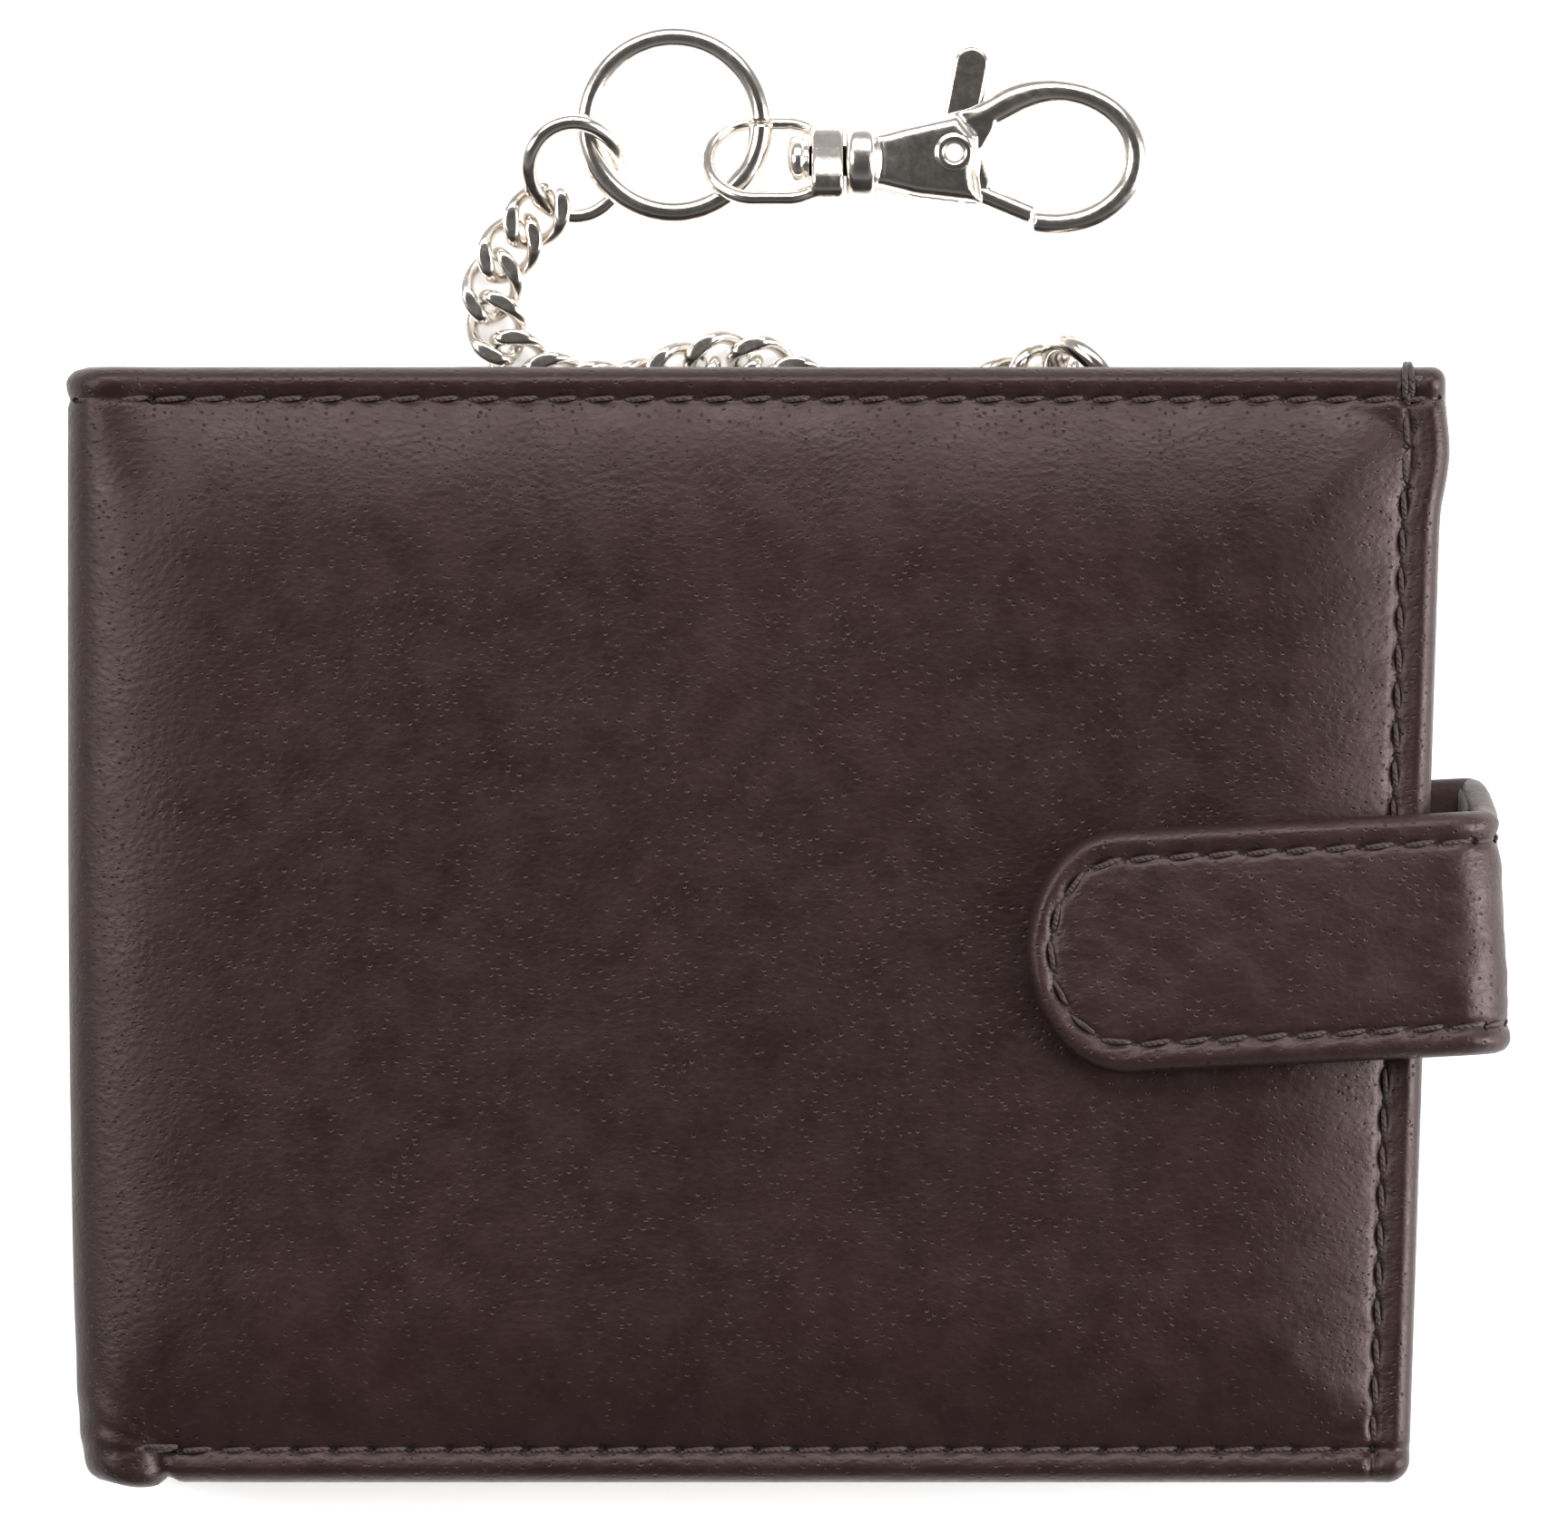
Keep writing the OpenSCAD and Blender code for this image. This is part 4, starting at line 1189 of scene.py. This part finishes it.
def plate(outline, low, high, bevel=0.0):
    """A closed slab from an outline, with its edges cut back by bevel."""
    levels = [(-bevel, low), (-0.3 * bevel, low + 0.3 * bevel), (0, low + bevel), (0, high - bevel)]
    levels += [(-0.3 * bevel, high - 0.3 * bevel), (-bevel, high)]
    return stacked(np.array(outline, float), corner_steps(outline), levels)


def plates(outline, half_thick, bevel, cutters):
    """A slab centred on the clasp's axis, after the cutters are taken from it."""
    return cut_part(plate(outline, AXIS_Z - half_thick, AXIS_Z + half_thick, bevel), cutters)


def arc(centre, radii, degrees):
    """Points on an ellipse round a centre."""
    (x, y), (rx, ry) = centre, radii
    return [(x + rx * math.cos(a), y + ry * math.sin(a)) for a in np.radians(degrees)]


def rod(x0, x1, y, z, r, segments=32):
    """A solid cylinder along X."""
    return placed(lathe([(x0, 0.0001), (x0, r), (x1, r), (x1, 0.0001)], segments), (0, y, z))


def upright(x, y, z0, z1, r, segments=32):
    """A solid cylinder along Z."""
    return placed(lathe([(z0, 0.0001), (z0, r), (z1, r), (z1, 0.0001)], segments), (x, y, 0), X_TO_Z)


# the eye: wire loop and its cross band, made round the X axis and then tilted
EYE_R, EYE_WIRE = 3.83, 0.62


def side_y(x):
    """The wire's two sides run in towards the band, where their ends are held."""
    return EYE_R - 0.75 * ease((x - 2.9) / 2.6)


side_x = np.linspace(5.7, 0.2, 24)
loop = [(x, side_y(x)) for x in side_x] + arc((-0.3, 0), (EYE_R, EYE_R), np.linspace(90, 270, 60))
loop += [(x, -side_y(x)) for x in side_x[::-1]]
eye_parts = [tube([(x, y, 0) for x, y in loop], EYE_WIRE, 18)]
band_outline = []
for a in np.radians(np.linspace(0, 360, 48, endpoint=False)):
    c, d = math.cos(a), math.sin(a)
    band_outline.append((math.copysign(3.78 * abs(c) ** 0.7, c), math.copysign(1.95 * abs(d) ** 0.85, d)))
pin_bore = rod(3.6, 8.6, 0, 0, 1.42)
for x0, x1, bevel in ((4.65, 5.65, 0.4), (5.45, 6.55, 0.3), (6.35, 7.35, 0.4)):
    verts, faces = plate(band_outline, x0, x1, bevel)
    eye_parts.append(cut_part(([(z, x, y) for x, y, z in verts], faces), [pin_bore]))
eye = casting("eye_casting", eye_parts, 0.13, 4, CAST_NICKEL)
eye.data.transform(Matrix.Translation((0, AXIS_Y * MM, AXIS_Z * MM)) @ Matrix(TURN_X.tolist()).to_4x4())
piece(eye, "eye", ["swivel_eye"])

pin = [
    (2.55, 0.0001), (2.58, 1.0), (2.7, 1.6), (2.95, 1.98), (3.3, 2.12), (3.75, 2.12), (3.95, 2.0),
    (4.05, 1.75), (4.15, 1.85), (4.42, 1.85), (4.47, 1.6), (4.48, 1.28), (9.4, 1.28), (9.4, 0.0001),
]
pin_place = (0, AXIS_Y, AXIS_Z)
turned("swivel_pin_turned", pin, pin_place, CAST_NICKEL, "clasp", "swivel_pin", turn=None)

# the hook body: flange, domed tapering plate and the loop of the hook
flange = [
    (7.6, 0.0001), (7.6, 2.9), (7.75, 3.2), (8.1, 3.46), (9.5, 3.5), (9.9, 3.35), (10.15, 2.7), (10.4, 2.2),
    (10.4, 0.0001),
]
body_outline = [
    (9.9, 62.3), (13.5, 61.35), (19.2, 60.65), (18.9, 63.0), (19.1, 65.2), (20.2, 67.1), (20.4, 69.2),
    (17.0, 68.6), (12.5, 67.4), (9.9, 66.6),
]
dome_outline = [
    (9.9, 62.3), (13.5, 61.4), (18.9, 60.8), (18.5, 63.5), (18.6, 66.4), (17.0, 68.3), (12.5, 67.3),
    (9.9, 66.6),
]
# how far in each step of the dome lies, and its half thickness
DOME = ((0.15, 1.55), (0.45, 1.75), (0.85, 1.92), (1.3, 2.03), (1.8, 2.1))
hook_loop = arc((25.2, 64.7), (6.9, 5.6), np.linspace(126, -104.5, 90))
share = np.linspace(0, 1, 90)
loop_radius = 1.04 + 0.12 * np.sin(np.pi * share) + 0.5 * (1 - ease(share / 0.22))
# the loop begins as the body's upper rail, on a curve with one bend
rail_from, rail_bend, rail_to = np.array([11.0, 66.2]), np.array([17.0, 66.8]), np.array(hook_loop[0])
rail_t = np.linspace(0, 1, 24)[:-1]
rail = [(1 - t) ** 2 * rail_from + 2 * t * (1 - t) * rail_bend + t * t * rail_to for t in rail_t]
hook_path = [(x, y, AXIS_Z) for x, y in [*rail, *hook_loop]]
hook_radius = np.concatenate([np.linspace(1.3, loop_radius[0], len(rail) + 1)[:-1], loop_radius])
slot = plate([(12.8, 58), (19.8, 58), (19.8, 72), (12.8, 72)], AXIS_Z - 0.95, AXIS_Z + 0.95)
rivet_hole = upright(RIVET_X, RIVET_Y, 0, 8, 1.37)
hook_parts = [
    cut_part(placed(lathe(flange, 48), (0, AXIS_Y, AXIS_Z)), [rod(6.5, 9.5, AXIS_Y, AXIS_Z, 1.32)]),
    plates(body_outline, 1.35, 0.4, [slot, rivet_hole]),
    *(plates(shrunk(dome_outline, by), half, 0.1, [slot, rivet_hole]) for by, half in DOME),
    cut_part(tube(hook_path, hook_radius, 16, cap_round=0.1), [slot]),
]
piece(casting("hook_casting", hook_parts, 0.12, 20, CAST_NICKEL), "clasp", ["hook_body"])

rivet = [
    (1.22, 0.76), (1.2, 1.0), (1.24, 1.5), (1.35, 1.62), (1.5, 1.5), (1.52, 1.33), (5.68, 1.33), (5.7, 1.5),
    (5.85, 1.62), (5.98, 1.5), (6.0, 1.1), (5.9, 0.8), (5.7, 0.74), (1.4, 0.74), (1.22, 0.76),
]
rivet_place = (RIVET_X, RIVET_Y, 0)
turned("rivet_tube", rivet, rivet_place, CAST_NICKEL, "clasp", "hook_rivet", segments=48)

# gate lever: thumb tab above, gate bar below
TAB_HALF, TAB_HIGH, TAB_LEAN, GATE_HALF = 1.65, 7.7, -11, 0.8
tab = [(-TAB_HALF, 0), *arc((0, TAB_HIGH), (TAB_HALF, TAB_HALF), np.linspace(180, 0, 13)), (TAB_HALF, 0)]
tab = np.array(tab[::-1]) @ turn_z(TAB_LEAN)[:2, :2].T + np.array([RIVET_X, RIVET_Y])
disc = arc((RIVET_X, RIVET_Y), (2.25, 2.25), np.linspace(0, 360, 32, endpoint=False))
knee = [(14.7, 64), (17.1, 60.95), (19.1, 60.95), (19.75, 62.4), (18.6, 66)]
bar_way = np.array([math.cos(math.radians(-22.5)), math.sin(math.radians(-22.5)), 0])
bar = [np.array([18.9, 61.65, AXIS_Z]) + bar_way * v for v in np.linspace(0, 4.75, 12)]
lever_hole = [upright(RIVET_X, RIVET_Y, 0, 8, 1.39)]
shapes = ((tab, 0.75), (disc, 0.1), (knee, 0.25))
gate_parts = [plates(shape, GATE_HALF, bevel, lever_hole) for shape, bevel in shapes]
gate_parts.append(tube(bar, 0.93, 20, cap_round=0.02))
piece(casting("gate_casting", gate_parts, 0.12, 7, CAST_NICKEL), "gate", ["gate_lever"])

# ---- Floor, light and world ----
FLOOR_HALF, FLOOR_Z = 2000, -0.05
corners = [(x * FLOOR_HALF, y * FLOOR_HALF, FLOOR_Z) for x, y in ((-1, -1), (1, -1), (1, 1), (-1, 1))]
paper = Nodes("paper")
tooth = paper.noise(700, 3.0).outputs["Fac"]
paper.set(
    Base_Color=paper.ramp(tooth, [(0.3, (0.88, 0.88, 0.88)), (0.7, (0.92, 0.92, 0.92))]),
    Roughness=0.9,
    Specular_IOR_Level=0.1,
    Emission_Color=(1, 1, 1, 1),
    Emission_Strength=0.45,
)
floor = make("floor", corners, [(0, 1, 2, 3)], paper.material, False)


def area(name, place, target, size, size_y, power, colour=(1, 0.955, 0.94)):
    """A soft light, in metres and watts."""
    data = bpy.data.lights.new(name, "AREA")
    data.shape = "RECTANGLE"
    data.size, data.size_y, data.energy, data.color = size, size_y, power, colour
    obj = bpy.data.objects.new(name, data)
    obj.location = place
    obj.rotation_euler = (Vector(target) - Vector(place)).to_track_quat("-Z", "Y").to_euler()
    bpy.context.scene.collection.objects.link(obj)


area("top_light", (0.0, 0.68, 0.66), (0, 0.02, 0), 1.1, 0.34, 10.0)
area("left_light", (-0.72, 0.2, 0.72), (0, 0.03, 0), 0.34, 0.6, 6.5)
area("right_light", (0.78, 0.1, 0.62), (0, 0.03, 0), 0.34, 0.6, 3.0)
area("side_light", (0.85, -0.08, 0.36), (0.05, 0.0, 0), 0.36, 0.6, 11.0)
area("low_light", (0.05, -0.9, 0.3), (0, 0.0, 0), 1.0, 0.2, 0.1)
world = bpy.data.worlds.new("studio")
world.use_nodes = True
sky = world.node_tree
direction = sky.nodes.new("ShaderNodeTexCoord").outputs["Generated"]
height = sky.nodes.new("ShaderNodeSeparateXYZ")
sky.links.new(direction, height.inputs[0])
shade = sky.nodes.new("ShaderNodeValToRGB")
sky.links.new(height.outputs["Z"], shade.inputs["Fac"])
SKY = ((0.1, (0.75, 0.75, 0.77, 1)), (0.9, (0.12, 0.12, 0.12, 1)))
for stop, (at, colour) in zip(shade.color_ramp.elements, SKY):
    stop.position, stop.color = at, colour
sky.links.new(shade.outputs["Color"], sky.nodes["Background"].inputs["Color"])
sky.nodes["Background"].inputs["Strength"].default_value = 0.6
bpy.context.scene.world = world
